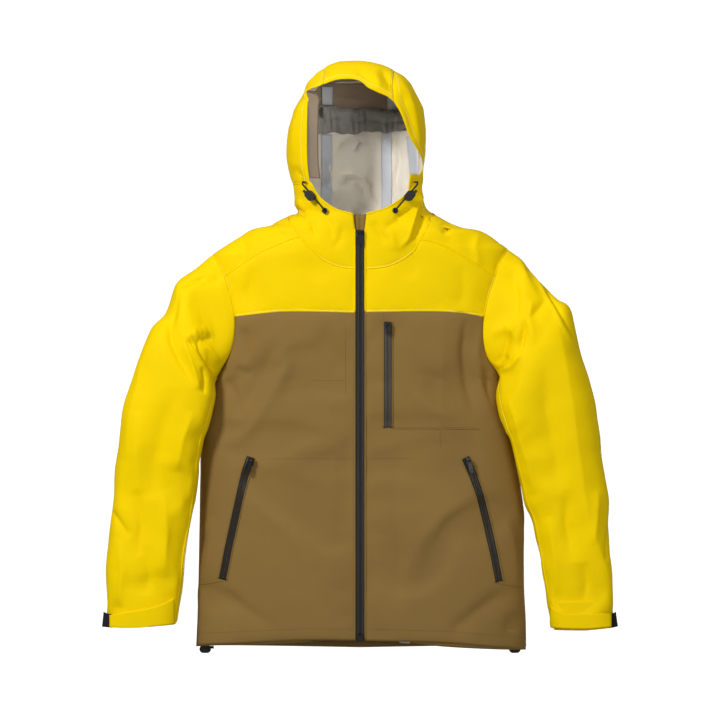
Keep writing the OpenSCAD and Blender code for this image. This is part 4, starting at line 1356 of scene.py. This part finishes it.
def on_cuff(side, x, z, out):
    """The cuff's front at a distance from the middle and a height."""
    low, high = np.full(x.shape, 11.5), np.full(x.shape, 14.4)
    for _ in range(24):
        k = (low + high) / 2
        v = sleeve_row(side, k)
        cc = np.clip((x - (v[0] + v[2]) / 2) * 2 / (v[0] - v[2]), -0.985, 0.985)
        above = (v[1] + v[3]) / 2 + (v[1] - v[3]) / 2 * cc > z
        low, high = np.where(above, k, low), np.where(above, high, k)
    return ring(side, k, np.degrees(np.arccos(np.sign(cc) * np.abs(cc) ** (SLEEVE_N / 2))), out)


for side, word in SIDES:
    inner, split = TAB_TOP[side][0][0], 444.5 if side > 0 else 443
    u, v = grid(40, 12)
    x = mix(split + 3, inner, u)
    z = mix(mix(54, 51.5, u), curve(x, TAB_TOP[side]), v)
    tab = Panel(on_cuff(side, x, z, 3.0 + 0.5 * np.sin(u * 9)), side < 0)
    o = cloth(tab, f"cuff_tab_{word}.cloth", YELLOW, YELLOW, "cuff_tab_" + word, "shell_yellow", 1.6)
    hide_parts("cuff_tab_" + word)
    u, v = grid(14, 8)
    z = mix(53, np.interp(u, [0, 1], [80, 76]), v)
    patch = Panel(on_cuff(side, mix(461, split, u), z, 2.2), side < 0)
    o = cloth(patch, f"cuff_patch_{word}.cloth", LOOPS, LOOPS, "sleeve_" + word, "loop_tape", 1.6)
    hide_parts("cuff_patch_" + word)

# ---- the hard parts keep their CAD shape ---------------------

for o in list(scene.objects):
    if o.type != "MESH" or o.hide_render:
        continue
    name = o.name
    for words, material in ((("slider", "pull", "zip_box"), METAL), (("lock", "button", "eyelets"), PLASTIC)):
        if any(w in name for w in words) and "." not in name:
            o.data.materials.clear()
            o.data.materials.append(material)

# A white floor and a white round wall, which only the camera sees
FLOOR_AT, WALL_AWAY, WALL_STEPS = -420, 14000, 48
turns = np.linspace(0, 2 * math.pi, WALL_STEPS, endpoint=False)
round_at = [np.stack([WALL_AWAY * r * np.cos(turns), WALL_AWAY * r * np.sin(turns), np.full(WALL_STEPS, z)], -1)
            for r, z in ((0.0002, FLOOR_AT), (1, FLOOR_AT), (1, WALL_AWAY), (0.0002, WALL_AWAY))]
faces = [tuple(range(WALL_STEPS))]
for low in range(0, 3 * WALL_STEPS, WALL_STEPS):
    for i in range(WALL_STEPS):
        j = (i + 1) % WALL_STEPS
        faces.append((low + i, low + j, low + WALL_STEPS + j, low + WALL_STEPS + i))
studio = mesh_object("studio", np.concatenate(round_at), faces, [FLOOR])
studio.visible_diffuse = studio.visible_glossy = studio.visible_shadow = False
